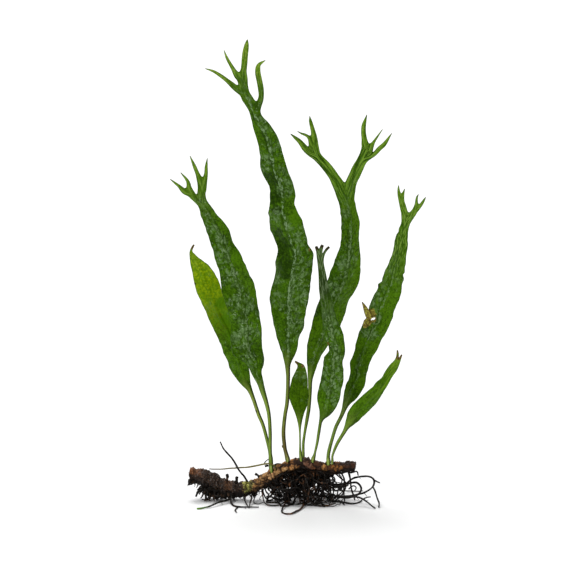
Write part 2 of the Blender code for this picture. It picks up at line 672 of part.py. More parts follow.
def grow(shape, base, base_centre, rows, arms, leaf):
    """Grow rows from the pairs of the row below, then part them among the arms."""
    columns = len(base) - 1
    low = base
    before = base_centre
    left_columns = 0
    if arms:
        left_tips = count_tips(arms[0][2])
        right_tips = count_tips(arms[1][2])
        left_columns = round(columns * left_tips / (left_tips + right_tips))
        left_columns = min(max(left_columns, left_tips), columns - right_tips)
    for index, row in enumerate(rows):
        last = index == len(rows) - 1
        after = row if last else rows[index + 1]
        fractions = [column / columns for column in range(columns + 1)]
        if last and arms:
            share = arms[0][0]
            left = [share * column / left_columns for column in range(left_columns)]
            right_columns = columns - left_columns
            right = [share + (1.0 - share) * column / right_columns for column in range(right_columns + 1)]
            fractions = left + right
        pairs = make_row(shape, row, row_heading(before, after), fractions, leaf)
        join_rows(shape, low, pairs)
        low = pairs
        before = row
    if not arms:
        close_row(shape, low)
        return
    for arm, part in zip(arms, (low[: left_columns + 1], low[left_columns:])):
        first = part[0][0].co
        final = part[-1][0].co
        middle = (first + final) / (2.0 * MM)
        seen = middle.z * math.cos(SIGHT_TILT) + middle.y * math.sin(SIGHT_TILT) - OUTLINE_LIFT
        grow(shape, part, (middle.x, seen), arm[1], arm[2], leaf)


def build_leaf(name, rows, arms, stalk_top, twist, material, phase):
    shape = bmesh.new()
    leaf = (rows[0][3], stalk_top, twist, phase)
    columns = max(LEAF_COLUMNS, count_tips(arms))
    fractions = [column / columns for column in range(columns + 1)]
    foot = make_row(shape, rows[0], row_heading(rows[0], rows[1]), fractions, leaf)
    close_row(shape, foot)
    grow(shape, foot, rows[0], rows[1:], arms, leaf)
    return add_object(name, shape, material)


# Rhizome and roots


def smooth_route(points, step):
    """Points of a smooth curve through the given ones, about one step apart."""
    ends = [points[0], *points, points[-1]]
    route = []
    for p0, p1, p2, p3 in zip(ends, ends[1:], ends[2:], ends[3:]):
        v0, v1, v2, v3 = Vector(p0), Vector(p1), Vector(p2), Vector(p3)
        count = max(1, round((v2 - v1).length / step))
        for index in range(count):
            t = index / count
            bend = (2.0 * v0 - 5.0 * v1 + 4.0 * v2 - v3) * t * t
            curl = (3.0 * v1 - v0 - 3.0 * v2 + v3) * t * t * t
            route.append(v1 + 0.5 * ((v2 - v0) * t + bend + curl))
    route.append(Vector(points[-1]))
    return route


def add_tube(shape, centres, radii, sides, lump=0.0):
    """A closed tube along the centres. With a lump, its skin swells and sinks by that share."""
    side = None
    rings = []
    for index, centre in enumerate(centres):
        along = centres[min(index + 1, len(centres) - 1)] - centres[max(index - 1, 0)]
        along.normalize()
        if side is None:
            side = along.orthogonal().normalized()
        side = (side - along * side.dot(along)).normalized()
        other = along.cross(side)
        ring = []
        for corner in range(sides):
            turn = 2.0 * math.pi * corner / sides
            out = side * math.cos(turn) + other * math.sin(turn)
            place = (centre + out * RHIZOME_LUMP_REACH) * RHIZOME_LUMP_RATE
            swell = 1.0 + lump * noise.noise(place)
            ring.append(shape.verts.new((centre + out * radii[index] * swell) * MM))
        rings.append(ring)
    for low, high in zip(rings, rings[1:]):
        for corner in range(sides):
            nearby = (corner + 1) % sides
            shape.faces.new((low[corner], low[nearby], high[nearby], high[corner]))
    shape.faces.new(rings[0])
    shape.faces.new(rings[-1][::-1])


def rhizome_shape(grown):
    """The rhizome's body, with every radius larger by the given millimetres."""
    shape = bmesh.new()
    route = smooth_route(RHIZOME_ROUTE, RHIZOME_STEP)
    centres = [Vector(point[:3]) for point in route]
    radii = []
    for index, point in enumerate(route):
        swell = 1.0 + RHIZOME_RING_SWELL * math.sin(RHIZOME_RING_RATE * index)
        radii.append(point[3] * swell + grown)
    add_tube(shape, centres, radii, RHIZOME_SIDES, RHIZOME_LUMP)
    return shape


def stub_shape(start, end, radius):
    shape = bmesh.new()
    route = [Vector(start).lerp(Vector(end), share) for share in STUB_SHARES]
    route[1].x += STUB_BEND * radius
    add_tube(shape, route, [radius * share for share in STUB_TAPER], STUB_SIDES)
    return shape


def build_rhizome(material):
    rhizome = add_object("rhizome", rhizome_shape(0.0), material)
    for index, (start, end, radius) in enumerate(ROOT_STUBS):
        stub = add_object(f"stub_{index + 1}", stub_shape(start, end, radius), None)
        add_boolean(rhizome, stub, "UNION")
    return rhizome


def mat_point(turn, level, grown):
    """A point of the mat's skin, by its turn about the mat and its share of the height."""
    amount, rate, start = MAT_BUNDLE_SHIFT
    bundles = math.sin(MAT_BUNDLES * turn + amount * math.sin(rate * turn + start))
    reach = (1.0 - level ** MAT_DOME_POWERS[0]) ** MAT_DOME_POWERS[1]
    reach *= MAT_FOOT_SHARE + (1.0 - MAT_FOOT_SHARE) * min(1.0, level / MAT_FOOT_LEVEL)
    reach *= 1.0 + MAT_RIDGE * bundles * (1.0 - level * level)
    x = reach * MAT_HALF_SIZE[0] * math.cos(turn)
    y = reach * MAT_HALF_SIZE[1] * math.sin(turn)
    z = level * MAT_HEIGHT
    out = Vector((x, y, 0.0)).normalized()
    lump = MAT_LUMP * noise.noise(Vector((x, y, z)) * MAT_LUMP_RATE + Vector(MAT_LUMP_START))
    point = Vector((MAT_CENTRE[0] + x, MAT_CENTRE[1] + y, z))
    return point + out * (lump + grown)


def mat_shape(grown):
    """A closed mound whose skin stands further out by the given millimetres."""
    shape = bmesh.new()
    rings = []
    for level in MAT_LEVELS:
        ring = []
        for side in range(MAT_SIDES):
            point = mat_point(2.0 * math.pi * side / MAT_SIDES, level, grown)
            point.z += grown * (2.0 * level - 1.0)
            ring.append(shape.verts.new(point * MM))
        rings.append(ring)
    for low, high in zip(rings, rings[1:]):
        for side in range(MAT_SIDES):
            nearby = (side + 1) % MAT_SIDES
            shape.faces.new((low[side], low[nearby], high[nearby], high[side]))
    crown = shape.verts.new(Vector((*MAT_CENTRE, MAT_HEIGHT + grown)) * MM)
    for side in range(MAT_SIDES):
        shape.faces.new((rings[-1][side], rings[-1][(side + 1) % MAT_SIDES], crown))
    shape.faces.new(rings[0][::-1])
    return shape


def root_shape(points, radius):
    shape = bmesh.new()
    route = smooth_route(points, ROOT_STEP)
    count = len(route) - 1
    radii = [radius * (1.0 - ROOT_TIP_LOSS * (index / count) ** 3) for index in range(count + 1)]
    add_tube(shape, route, radii, ROOT_SIDES)
    return shape


def build_root(name, points, branches, radius, material):
    root = add_object(name, root_shape(points, radius), material)
    for index, branch in enumerate(branches):
        twig = add_object(f"{name}_branch_{index + 1}", root_shape(branch, radius * BRANCH_SHARE), None)
        add_boolean(root, twig, "UNION")
    return root


def build_plant():
    clear_scene()
    rhizome_room = add_object("rhizome_room", rhizome_shape(GAP), None)
    mat_room = add_object("mat_room", mat_shape(GAP), None)
    build_rhizome(make_material("rhizome", RHIZOME_BROWN, RHIZOME_ROUGHNESS))

    root_mat = add_object("root_mat", mat_shape(0.0), make_material("root_mat", ROOT_BLACK, ROOT_ROUGHNESS))
    add_boolean(root_mat, rhizome_room, "DIFFERENCE")

    for index, (name, rows, arms, stalk_top, twist, colour) in enumerate(LEAVES):
        material = make_material(name, colour, LEAF_ROUGHNESS)
        leaf = build_leaf(name, rows, arms, stalk_top, twist, material, RUFFLE_PHASE_STEP * index)
        add_boolean(leaf, rhizome_room, "DIFFERENCE")

    for name, points, branches, radius, colour in ROOTS:
        material = make_material(name, colour, ROOT_ROUGHNESS)
        root = build_root(name, points, branches, radius, material)
        add_boolean(root, rhizome_room, "DIFFERENCE")
        add_boolean(root, mat_room, "DIFFERENCE")


build_plant()
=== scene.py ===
"""Looks of a fork-tipped java fern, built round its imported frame.

Leaves, rhizome and roots are dense meshes in the places of the frame's solids. Lengths are in
millimetres until a mesh is made, and the plant faces -Y on the plane z = 0.
"""

import math

import bpy
import numpy as np
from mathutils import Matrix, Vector, noise


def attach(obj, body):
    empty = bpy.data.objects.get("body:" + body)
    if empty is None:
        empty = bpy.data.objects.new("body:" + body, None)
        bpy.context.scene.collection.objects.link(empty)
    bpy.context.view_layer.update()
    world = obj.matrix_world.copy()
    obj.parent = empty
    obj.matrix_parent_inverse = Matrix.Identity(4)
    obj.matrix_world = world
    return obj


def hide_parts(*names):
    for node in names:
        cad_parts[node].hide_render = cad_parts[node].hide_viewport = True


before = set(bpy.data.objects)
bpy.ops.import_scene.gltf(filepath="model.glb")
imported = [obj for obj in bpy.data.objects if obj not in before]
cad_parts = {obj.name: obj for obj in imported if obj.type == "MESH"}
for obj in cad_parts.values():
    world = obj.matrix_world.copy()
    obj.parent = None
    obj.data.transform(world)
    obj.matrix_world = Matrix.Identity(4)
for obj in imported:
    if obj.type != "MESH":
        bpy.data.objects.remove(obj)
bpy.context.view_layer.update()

MM = 0.001

# The frame's own values: how seen heights become points, and the leaves' large waves
SIGHT_TILT = math.radians(12.0)
OUTLINE_LIFT = 0.5
LEAF_SPREAD = 1.55
STALK_BLEND_BELOW = 3.6
STALK_BLEND_ABOVE = 12.0
RUFFLED_WIDTHS = (2.5, 8.0)
RUFFLE_LENGTH = 27.0
RUFFLE_DEPTH = 0.11
RUFFLE_SKEW = 1.9
RUFFLE_PHASE_STEP = 1.7
RHIZOME_LUMP = 0.14
RHIZOME_LUMP_RATE = 0.42
RHIZOME_LUMP_REACH = 2.0
RHIZOME_RING_SWELL = 0.07
RHIZOME_RING_RATE = 2.4
RHIZOME_RING_STEP = 2.1
MAT_CENTRE = (3.3, 0.4)
MAT_HALF_SIZE = (21.6, 12.8)
MAT_HEIGHT = 16.5
MAT_DOME_POWERS = (2.4, 0.55)

# Fineness of the looks
ROW_STEP = 0.55
RHIZOME_STEP = 0.35
RHIZOME_SIDES = 80
END_RINGS = 9
FORK_PASSES = 12
STRAND_STEP = 0.75
MASS_STRANDS = 94
MASS_TUFTS = 200
OLD_FUZZ = 150

# Leaf tissue: blade and margin thickness, midrib ridge, and the net of blisters between slanting veins
BLADE_THICKNESS = 0.5
MARGIN_THICKNESS = 0.26
MARGIN_WAVER = 0.16
RIB_HEIGHT = 0.28
VEIN_SLANT = 0.8
BLISTER_LENGTH = 3.3
BLISTER_WIDTH = 2.7
SMALL_BLISTER_LENGTH = 1.5
SMALL_BLISTER_WIDTH = 1.3

# Margins, forks and marks of the leaves
PARTING_ROWS = 4.0
WAVER_WIDTHS = (2.5, 7.0)
WAVER_LENGTH = 1.9
NUDGE_CLEARANCE = 3.0
FORK_SOFTENING = (1.0, 4.5)
# Mark kinds: painted sheen, places kept free of it, painted light, painted shade, and brown and dark dead
# tissue
MARK_SEED_OFFSETS = {"brown": 77, "dark": 77, "painted_sheen": 78, "sheen_free": 79, "painted_light": 80, "shade": 81}

# Rhizome and roots: the old part's end, the knobs, the cut, the bends of dead roots and the mass's edge
OLD_PART_ENDS = (-29.5, -26.5)
KNOB_LENGTH = 3.2
KNOB_WIDTH = 3.8
FINE_KNOB = 1.3
CUT_SLANT = 1.9
BRANCH_SHARE = 0.85
CROOK_STEP = 0.5
MASS_EDGE = 0.88
MASS_LOW = 1.6
SHARP_TURN_SHARE = 0.06
FLOOR_CLEARANCE = 0.05

# Seeds, torn flaps, and the factors that turn whole numbers into chance ones
LEAF_SEED = 1000
LEAF_SEED_STEP = 60
NOISE_SHIFT_STEP = 0.37
ROOT_SEED = 400
FLAP_SEED = 9
FLAP_COLUMNS = 8
HASH_FACTORS = (374761393, 668265263, 144266504)
HASH_STIRS = ((13, 1274126177), (15, 461845907))
HASH_MASK = np.int64(0xFFFFFFFF)
TINY = 1e-12

# Roots drawn one by one in the mass: points, radius, shade from 0, black, to 1, brown
PLACED_STRANDS = (
    (((2.0, -6.5, 13.5), (2.6, -10.4, 10.0), (4.2, -12.2, 5.2), (5.4, -12.4, 2.2)), 0.42, 0.95),
    (((4.6, -11.2, 4.6), (7.6, -12.6, 1.6), (12.6, -13.4, 0.6), (18.6, -10.6, 1.4)), 0.40, 0.8),
    (((-13.2, -1.0, 17.0), (-12.0, -1.3, 19.0), (-9.8, -1.2, 19.5), (-7.2, -0.8, 18.2)), 0.30, 0.3),
    (((-12.6, 0.2, 16.0), (-11.4, 0.4, 18.2), (-9.6, 0.6, 18.6), (-8.4, 0.2, 17.4)), 0.42, 0.1),
    (((-16.7, -1.6, 18.2), (-15.9, -1.7, 18.6), (-15.0, -1.6, 18.5)), 0.6, 0.2),
    (((-17.2, -1.4, 19.5), (-16.9, -1.4, 20.2), (-16.2, -1.3, 21.0), (-15.1, -1.2, 21.8)), 0.3, 0.6),
    (((-20.0, -0.4, 7.6), (-22.6, -6.6, 1.4), (-20.4, -8.8, 0.7), (-17.6, -7.4, 1.0)), 0.30, 0.4),
    (((20.0, -6.0, 2.0), (22.4, -8.4, 0.6), (23.0, -10.8, 0.5)), 0.36, 0.2),
    (((22.6, -1.6, 8.0), (23.0, -2.2, 4.0), (23.2, -3.0, 0.4)), 0.4, 0.2),
    (((32.0, -10.6, 3.4), (34.4, -11.6, 4.6), (36.2, -12.2, 5.0)), 0.36, 0.3),
    (((20.5, -0.5, 15.4), (22.5, -0.8, 13.0), (23.2, -1.0, 10.0), (21.5, -1.4, 6.5)), 0.42, 0.3),
    (((17.5, -1.5, 15.4), (21.0, -2.0, 12.6), (24.0, -2.2, 9.6), (22.8, -2.4, 5.0)), 0.4, 0.6),
    (((25.2, -1.0, 6.4), (27.4, -1.2, 8.0), (29.0, -1.0, 7.0), (28.0, -0.8, 5.2)), 0.36, 0.2),
)

# Each root's further rootlets: start, end, radius
ROOTLETS = {
    "root_upright": (((-30.6, -1.1, 17.2), (-31.9, -0.6, 18.0), 0.16),),
    "root_green_tip": (((-38.6, -8.8, 1.4), (-38.0, -10.6, 0.4), 0.18),),
    "root_hooked": (((-27.0, -16.0, 0.5), (-26.2, -18.2, 0.3), 0.16),),
    "root_right_loop": (
        ((33.0, -3.9, 5.0), (34.6, -4.6, 3.2), 0.2), ((30.4, -2.6, 12.9), (31.6, -2.2, 11.6), 0.15),
    ),
    "root_right_front": (
        ((29.0, -9.4, 4.4), (30.4, -10.8, 2.9), 0.2), ((33.6, -12.8, 3.1), (35.2, -12.2, 3.4), 0.16),
    ),
    "root_back_left": (((-12.4, 17.6, 0.7), (-14.6, 18.6, 0.4), 0.18),),
}

# Camera, level with the picture's own view of the plant
LENS = 600.0
SENSOR = 36.0
FIELD_WIDTH = 288.0
VIEW_TARGET = (-5.25, 0.0, 109.4)
FLOOR_SIZE = 14.0

# Each leaf row is (x, height as seen, width, depth), from the foot on the rhizome to the fork or the tip.
# An arm is (share of the width at the fork, rows, arms), the left arm first.

FAR_LEFT_ROWS = (
    (-14.0, 13.5, 1.8, 2.3), (-14.3, 23.0, 1.6, 2.8), (-15.7, 30.0, 1.7, 3.2), (-17.9, 38.0, 1.8, 3.8),
    (-20.0, 43.0, 1.9, 4.2), (-22.5, 50.5, 2.0, 5.0), (-24.5, 55.5, 2.7, 5.6), (-26.5, 59.0, 5.0, 6.2),
    (-28.4, 64.5, 8.0, 7.0), (-30.4, 70.5, 10.2, 8.0), (-33.2, 78.0, 11.2, 9.3), (-36.0, 85.5, 11.6, 10.5),
    (-39.5, 92.0, 11.3, 11.5), (-41.6, 97.0, 11.6, 12.3), (-43.8, 102.5, 12.2, 13.2),
    (-45.6, 107.0, 12.2, 14.0), (-46.9, 110.5, 11.5, 14.6), (-48.5, 114.3, 9.8, 15.3),
    (-50.9, 119.0, 6.5, 16.2), (-53.0, 122.8, 3.2, 16.8), (-53.8, 124.4, 1.6, 17.0),
    (-53.7, 125.8, 1.1, 17.2), (-53.0, 127.3, 1.0, 17.4), (-52.4, 128.3, 0.7, 17.5),
)

LEFT_FORKED_ROWS = (
    (-13.4, 13.2, 0.7, -1.7), (-13.4, 14.4, 1.4, -1.6), (-13.6, 16.4, 1.9, -1.4), (-13.8, 18.4, 2.3, -1.15),
    (-13.9, 20.6, 2.3, -0.95), (-14.1, 23.4, 1.8, -1.0), (-14.2, 27.0, 1.8, -1.1), (-14.2, 34.0, 1.8, -1.4),
    (-14.8, 43.0, 1.9, -1.8), (-16.1, 49.0, 2.2, -2.2), (-18.1, 55.5, 2.9, -2.6), (-19.1, 59.0, 3.4, -2.9),
    (-21.1, 64.5, 5.5, -3.3), (-21.7, 69.8, 9.0, -3.7), (-25.0, 75.5, 14.8, -4.1),
    (-25.9, 81.5, 15.0, -4.5), (-25.9, 87.0, 15.0, -4.9), (-27.4, 95.5, 15.6, -5.4),
    (-29.7, 105.3, 16.2, -5.9), (-31.5, 111.0, 14.6, -6.2), (-33.2, 117.0, 13.8, -6.5),
    (-35.4, 122.5, 13.0, -6.8), (-37.7, 128.0, 10.8, -7.1), (-39.0, 132.2, 10.5, -7.4),
    (-41.6, 137.8, 9.5, -7.8), (-44.8, 143.3, 8.0, -8.2), (-47.8, 148.5, 5.3, -8.7),
    (-49.8, 152.2, 7.7, -9.0),
)
LEFT_FORKED_ARMS = (
    (
        0.42, ((-53.7, 153.7, 4.0, -9.6), (-55.6, 155.3, 5.9, -10.0)),
        (
            (0.5, ((-59.5, 157.2, 1.6, -11.0), (-61.4, 158.7, 1.1, -11.8), (-63.8, 160.6, 0.3, -12.5)), ()),
            (0.5, ((-54.5, 157.9, 2.2, -10.2), (-55.5, 160.2, 1.5, -10.6), (-58.6, 163.9, 0.3, -11.2)), ()),
        ),
    ),
    (
        0.58, ((-48.1, 154.5, 4.3, -9.0), (-47.9, 158.3, 4.7, -9.0), (-48.0, 160.8, 5.5, -9.0)),
        (
            (0.55, ((-50.4, 163.7, 2.0, -9.2), (-51.7, 166.9, 1.8, -9.6), (-54.0, 172.2, 0.3, -10.4)), ()),
            (0.45, ((-46.0, 163.3, 1.9, -8.8), (-45.9, 166.9, 1.5, -8.2), (-45.4, 171.1, 0.3, -7.4)), ()),
        ),
    ),
)

TALL_ROWS = (
    (-5.6, 18.5, 0.9, -0.9), (-5.5, 19.3, 1.7, -0.75), (-5.4, 20.4, 2.5, -0.6), (-5.7, 21.6, 2.35, -0.4),
    (-6.1, 23.2, 2.05, -0.1), (-6.8, 26.0, 1.95, 0.4), (-7.5, 34.0, 2.0, 0.9), (-6.7, 43.0, 1.9, 1.4),
    (-5.7, 49.0, 2.0, 1.7), (-5.2, 61.5, 2.1, 2.2), (-5.4, 67.5, 2.8, 2.5), (-5.3, 70.0, 4.1, 2.6),
    (-4.8, 75.5, 8.0, 2.8), (-5.4, 81.5, 11.2, 3.0), (-5.1, 87.5, 15.0, 3.2), (-5.0, 95.5, 17.3, 3.3),
    (-4.7, 101.5, 18.8, 3.2), (-4.0, 107.2, 19.5, 3.0), (-2.9, 114.3, 19.2, 2.7), (-1.5, 122.5, 17.5, 2.2),
    (-2.6, 127.0, 15.2, 1.9), (-4.5, 132.7, 16.1, 1.5), (-6.1, 137.8, 16.8, 1.0), (-7.8, 145.0, 14.2, 0.3),
    (-8.1, 152.0, 12.3, -0.5), (-9.1, 158.5, 11.2, -1.2), (-11.1, 163.0, 12.4, -1.8),
    (-12.6, 167.5, 12.5, -2.3), (-14.1, 175.5, 10.8, -3.3), (-17.3, 184.5, 9.2, -4.5),
    (-20.4, 189.9, 6.2, -5.3), (-21.6, 194.1, 5.6, -5.9), (-22.1, 198.1, 8.8, -6.4),
)
TALL_ARMS = (
    (
        0.62, ((-25.5, 200.7, 5.4, -6.8), (-26.9, 203.3, 5.2, -7.2), (-28.9, 206.9, 8.3, -7.6)),
        (
            (
                0.38,
                (
                    (-35.9, 209.8, 2.0, -8.6), (-39.2, 212.2, 1.7, -9.2), (-42.5, 214.1, 1.2, -10.0),
                    (-46.3, 215.3, 0.3, -11.0),
                ),
                (),
            ),
            (
                0.62, ((-27.5, 209.2, 4.9, -7.9), (-29.0, 212.8, 6.8, -8.2)),
                (
                    (
                        0.45,
                        ((-32.2, 214.7, 2.1, -8.6), (-35.6, 220.7, 1.3, -9.4), (-37.0, 224.4, 0.3, -10.0)),
                        (),
                    ),
                    (
                        0.55,
                        (
                            (-27.2, 214.7, 3.0, -8.2), (-26.5, 222.6, 3.0, -7.6), (-25.8, 227.0, 2.3, -7.0),
                            (-25.4, 229.8, 0.5, -6.6),
                        ),
                        (),
                    ),
                ),
            ),
        ),
    ),
    (
        0.38,
        (
            (-18.6, 201.0, 2.7, -6.4), (-18.7, 205.1, 2.9, -6.6), (-19.4, 209.2, 2.9, -7.0),
            (-20.2, 213.3, 2.8, -7.6), (-20.1, 216.1, 2.4, -8.2), (-19.3, 217.6, 1.7, -8.8),
            (-16.5, 219.4, 0.3, -9.6),
        ),
        (),
    ),
)

SMALL_FRONT_ROWS = (
    (1.5, 18.9, 0.7, -2.5), (1.4, 20.2, 1.5, -2.45), (1.2, 21.8, 1.7, -2.4), (0.95, 23.8, 1.4, -2.6),
    (0.8, 26.0, 1.05, -2.9), (0.8, 28.5, 0.9, -3.1), (0.7, 35.5, 1.1, -3.8), (0.6, 40.3, 2.6, -4.3),
    (0.4, 45.0, 5.0, -4.8), (-0.2, 50.5, 8.6, -5.3), (0.0, 55.5, 8.9, -5.8), (0.5, 60.5, 7.5, -6.4),
    (1.2, 65.0, 5.2, -7.0), (1.0, 67.5, 3.4, -7.6), (-0.2, 68.7, 1.6, -8.2), (-1.7, 69.8, 0.9, -8.8),
)

BACK_FORKED_ROWS = (
    (2.3, 20.0, 1.0, 0.1), (2.3, 21.2, 1.7, 0.3), (2.35, 23.0, 1.7, 1.0), (2.4, 25.0, 1.45, 1.6),
    (2.5, 29.0, 1.4, 2.0), (3.3, 34.7, 1.4, 2.7), (4.3, 40.5, 1.8, 3.4), (5.2, 46.2, 1.9, 4.1),
    (5.8, 55.0, 2.0, 5.2), (5.9, 60.2, 2.4, 5.9), (6.4, 64.5, 3.8, 6.4), (7.0, 69.0, 5.6, 7.0),
    (8.2, 74.0, 8.6, 7.6), (10.3, 79.5, 10.9, 8.3), (13.7, 87.7, 13.0, 9.4), (15.9, 95.0, 14.0, 10.2),
    (18.8, 101.7, 14.4, 10.9), (21.2, 106.2, 15.0, 11.4), (22.9, 110.5, 15.0, 11.8),
    (24.7, 117.5, 12.8, 12.4), (25.2, 121.5, 11.4, 12.7), (25.8, 129.5, 9.2, 13.3),
    (26.0, 138.0, 9.3, 13.8), (25.0, 146.0, 8.4, 14.2), (24.0, 151.5, 8.9, 14.4), (23.2, 158.4, 12.5, 14.6),
)
BACK_FORKED_ARMS = (
    (
        0.51,
        (
            (17.3, 162.9, 5.0, 14.6), (13.9, 167.4, 4.7, 14.4), (9.8, 171.8, 4.5, 14.0),
            (7.9, 174.2, 6.3, 13.8), (6.3, 176.9, 8.6, 13.6),
        ),
        (
            (0.38, ((0.6, 179.8, 2.3, 12.8), (-2.0, 182.0, 1.4, 12.2), (-4.0, 183.6, 0.3, 11.6)), ()),
            (
                0.62, ((7.3, 180.2, 4.7, 13.5), (7.0, 182.0, 4.8, 13.4)),
                (
                    (
                        0.35, ((3.9, 183.0, 1.4, 13.0), (1.5, 183.8, 0.9, 12.8), (-0.5, 184.9, 0.3, 12.4)),
                        (),
                    ),
                    (0.65, ((7.5, 184.2, 2.4, 13.4), (6.0, 190.0, 1.6, 13.8), (5.6, 192.5, 0.3, 14.2)), ()),
                ),
            ),
        ),
    ),
    (
        0.49,
        (
            (28.0, 162.7, 5.7, 15.0), (29.7, 166.5, 5.5, 15.4), (32.2, 171.0, 5.2, 16.0),
            (35.1, 174.9, 8.2, 16.5),
        ),
        (
            (
                0.75, ((34.6, 178.0, 6.5, 16.9),),
                (
                    (
                        0.6,
                        (
                            (33.1, 180.5, 2.9, 17.2), (32.6, 184.5, 2.5, 17.8), (32.8, 188.2, 2.2, 18.4),
                            (34.3, 193.4, 0.3, 19.4),
                        ),
                        (),
                    ),
                    (
                        0.4, ((37.5, 179.4, 1.5, 17.2), (39.3, 182.0, 1.0, 17.5), (42.1, 186.0, 0.3, 18.0)),
                        (),
                    ),
                ),
            ),
            (0.25, ((40.4, 176.2, 2.3, 16.4), (43.1, 178.7, 2.1, 16.0), (46.7, 184.0, 0.3, 15.0)), ()),
        ),
    ),
)

FRONT_NARROW_ROWS = (
    (7.4, 18.7, 0.8, -1.9), (7.2, 19.7, 1.6, -1.8), (7.4, 20.9, 2.1, -1.9), (7.9, 22.2, 1.6, -2.1),
    (8.3, 24.0, 1.2, -2.65), (9.4, 29.0, 1.4, -3.3), (10.3, 34.7, 1.6, -3.9), (11.0, 39.0, 1.7, -4.4),
    (11.7, 41.3, 2.7, -4.6), (13.4, 44.3, 6.2, -4.9), (14.5, 49.7, 10.3, -5.4), (15.5, 55.7, 10.9, -5.9),
    (17.1, 63.0, 11.4, -6.3), (17.2, 70.0, 9.8, -6.6), (18.6, 74.5, 8.6, -6.8), (18.7, 78.0, 7.7, -6.9),
    (17.2, 83.0, 9.1, -7.0), (15.3, 90.5, 7.9, -7.2), (14.2, 97.2, 6.1, -7.4), (13.1, 103.6, 5.3, -7.7),
    (12.4, 108.5, 4.6, -8.0), (11.8, 113.5, 3.8, -8.4), (11.0, 119.2, 3.2, -8.9), (10.9, 122.7, 4.0, -9.2),
)
FRONT_NARROW_ARMS = (
    (
        0.68, ((10.4, 125.0, 3.2, -9.4),),
        (
            (0.45, ((9.2, 126.0, 1.7, -9.6), (8.7, 127.2, 1.6, -9.9)), ()),
            (0.55, ((11.3, 126.6, 1.7, -9.4), (12.0, 127.9, 1.7, -9.6)), ()),
        ),
    ),
    (0.32, ((13.5, 125.2, 1.3, -9.0), (15.3, 127.0, 1.2, -8.6)), ()),
)

RIGHT_FORKED_ROWS = (
    (15.0, 16.6, 0.8, -0.9), (15.1, 17.6, 1.6, -0.5), (15.1, 18.9, 2.3, 0.0), (15.0, 20.4, 2.1, 0.9),
    (14.95, 22.0, 1.8, 1.3), (15.4, 25.0, 1.8, 1.6), (17.0, 31.0, 1.7, 2.0), (18.9, 37.0, 1.8, 2.4),
    (21.3, 41.8, 1.9, 2.8), (22.8, 45.5, 2.4, 3.1), (23.8, 48.3, 3.6, 3.4), (25.5, 51.7, 6.0, 3.8),
    (27.3, 56.2, 7.6, 4.3), (29.5, 61.2, 7.9, 4.9), (30.6, 67.0, 8.5, 5.5), (32.1, 72.8, 9.0, 6.1),
    (34.3, 78.0, 10.9, 6.7), (36.5, 83.5, 12.4, 7.3), (38.9, 87.5, 12.9, 7.8), (40.7, 91.5, 11.8, 8.2),
    (41.4, 96.0, 12.0, 8.6), (43.3, 100.5, 11.8, 9.0), (45.6, 105.5, 11.5, 9.4), (46.8, 110.5, 9.8, 9.8),
    (48.0, 114.2, 9.6, 10.1), (49.3, 118.5, 8.2, 10.4), (50.4, 123.3, 6.5, 10.7), (51.2, 127.5, 6.8, 11.0),
    (51.8, 132.0, 6.1, 11.3), (52.9, 136.0, 4.7, 11.5), (53.8, 139.5, 4.7, 11.7), (54.9, 143.3, 7.3, 11.9),
)
RIGHT_FORKED_ARMS = (
    (
        0.5, ((52.4, 147.0, 3.3, 12.2), (51.6, 150.2, 2.9, 12.4), (51.3, 153.0, 3.5, 12.6)),
        (
            (0.55, ((50.2, 154.9, 1.4, 12.7), (50.1, 156.5, 1.0, 12.9), (50.2, 158.0, 0.3, 13.1)), ()),
            (0.45, ((52.7, 154.7, 0.9, 12.6), (53.2, 156.2, 0.4, 12.5)), ()),
        ),
    ),
    (
        0.5, ((57.9, 144.6, 3.0, 12.0), (59.0, 146.2, 3.1, 12.2), (59.9, 147.7, 3.7, 12.4)),
        (
            (0.5, ((59.1, 150.0, 1.3, 12.7), (59.3, 151.8, 1.1, 12.9), (60.1, 153.5, 0.3, 13.1)), ()),
            (0.5, ((62.1, 149.2, 1.5, 12.2), (62.9, 150.6, 1.1, 12.0), (63.7, 152.0, 0.3, 11.8)), ()),
        ),
    ),
)

SMALL_RIGHT_ROWS = (
    (16.9, 17.9, 0.8, -1.1), (17.0, 19.0, 1.5, -1.0), (17.0, 20.6, 1.2, -1.2), (17.1, 22.4, 1.1, -1.6),
    (19.2, 28.0, 1.6, -2.3), (22.7, 34.0, 1.9, -3.1), (24.3, 37.0, 2.8, -3.6), (25.9, 39.5, 5.0, -4.0),
    (27.8, 42.5, 7.0, -4.5), (31.0, 46.6, 7.5, -5.2), (34.3, 50.0, 7.2, -6.0), (37.0, 52.7, 6.4, -6.6),
    (39.7, 55.5, 5.6, -7.3), (42.3, 59.0, 5.0, -8.0), (44.6, 62.6, 4.5, -8.8), (47.6, 66.9, 4.1, -9.8),
    (49.8, 70.8, 2.8, -10.6),
)
SMALL_RIGHT_ARMS = (
    (0.5, ((49.5, 73.2, 1.3, -11.1), (49.3, 75.4, 0.7, -11.8)), ()),
    (0.5, ((50.9, 72.1, 1.1, -10.8), (51.6, 73.2, 0.7, -11.0)), ()),
)

# Rhizome points are (x, y, z, radius), from the cut old end to the growing end
RHIZOME_ROUTE = (
    (-55.0, 4.0, 12.7, 3.4), (-49.8, 3.6, 11.8, 4.0), (-44.4, 3.2, 10.1, 4.1), (-39.2, 2.6, 7.4, 3.8),
    (-33.2, 2.0, 6.0, 3.6), (-26.2, 1.4, 6.1, 3.4), (-20.7, 0.8, 8.3, 3.2), (-15.7, 0.4, 11.7, 3.0),
    (-10.7, 0.0, 14.9, 3.0), (-5.2, -0.4, 17.6, 2.9), (1.8, -0.5, 19.0, 2.8), (9.1, -0.3, 17.7, 2.7),
    (15.8, 0.0, 16.9, 2.5), (21.6, 0.6, 17.6, 2.3), (26.6, 1.2, 17.7, 2.6), (28.2, 1.3, 17.5, 2.3),
)
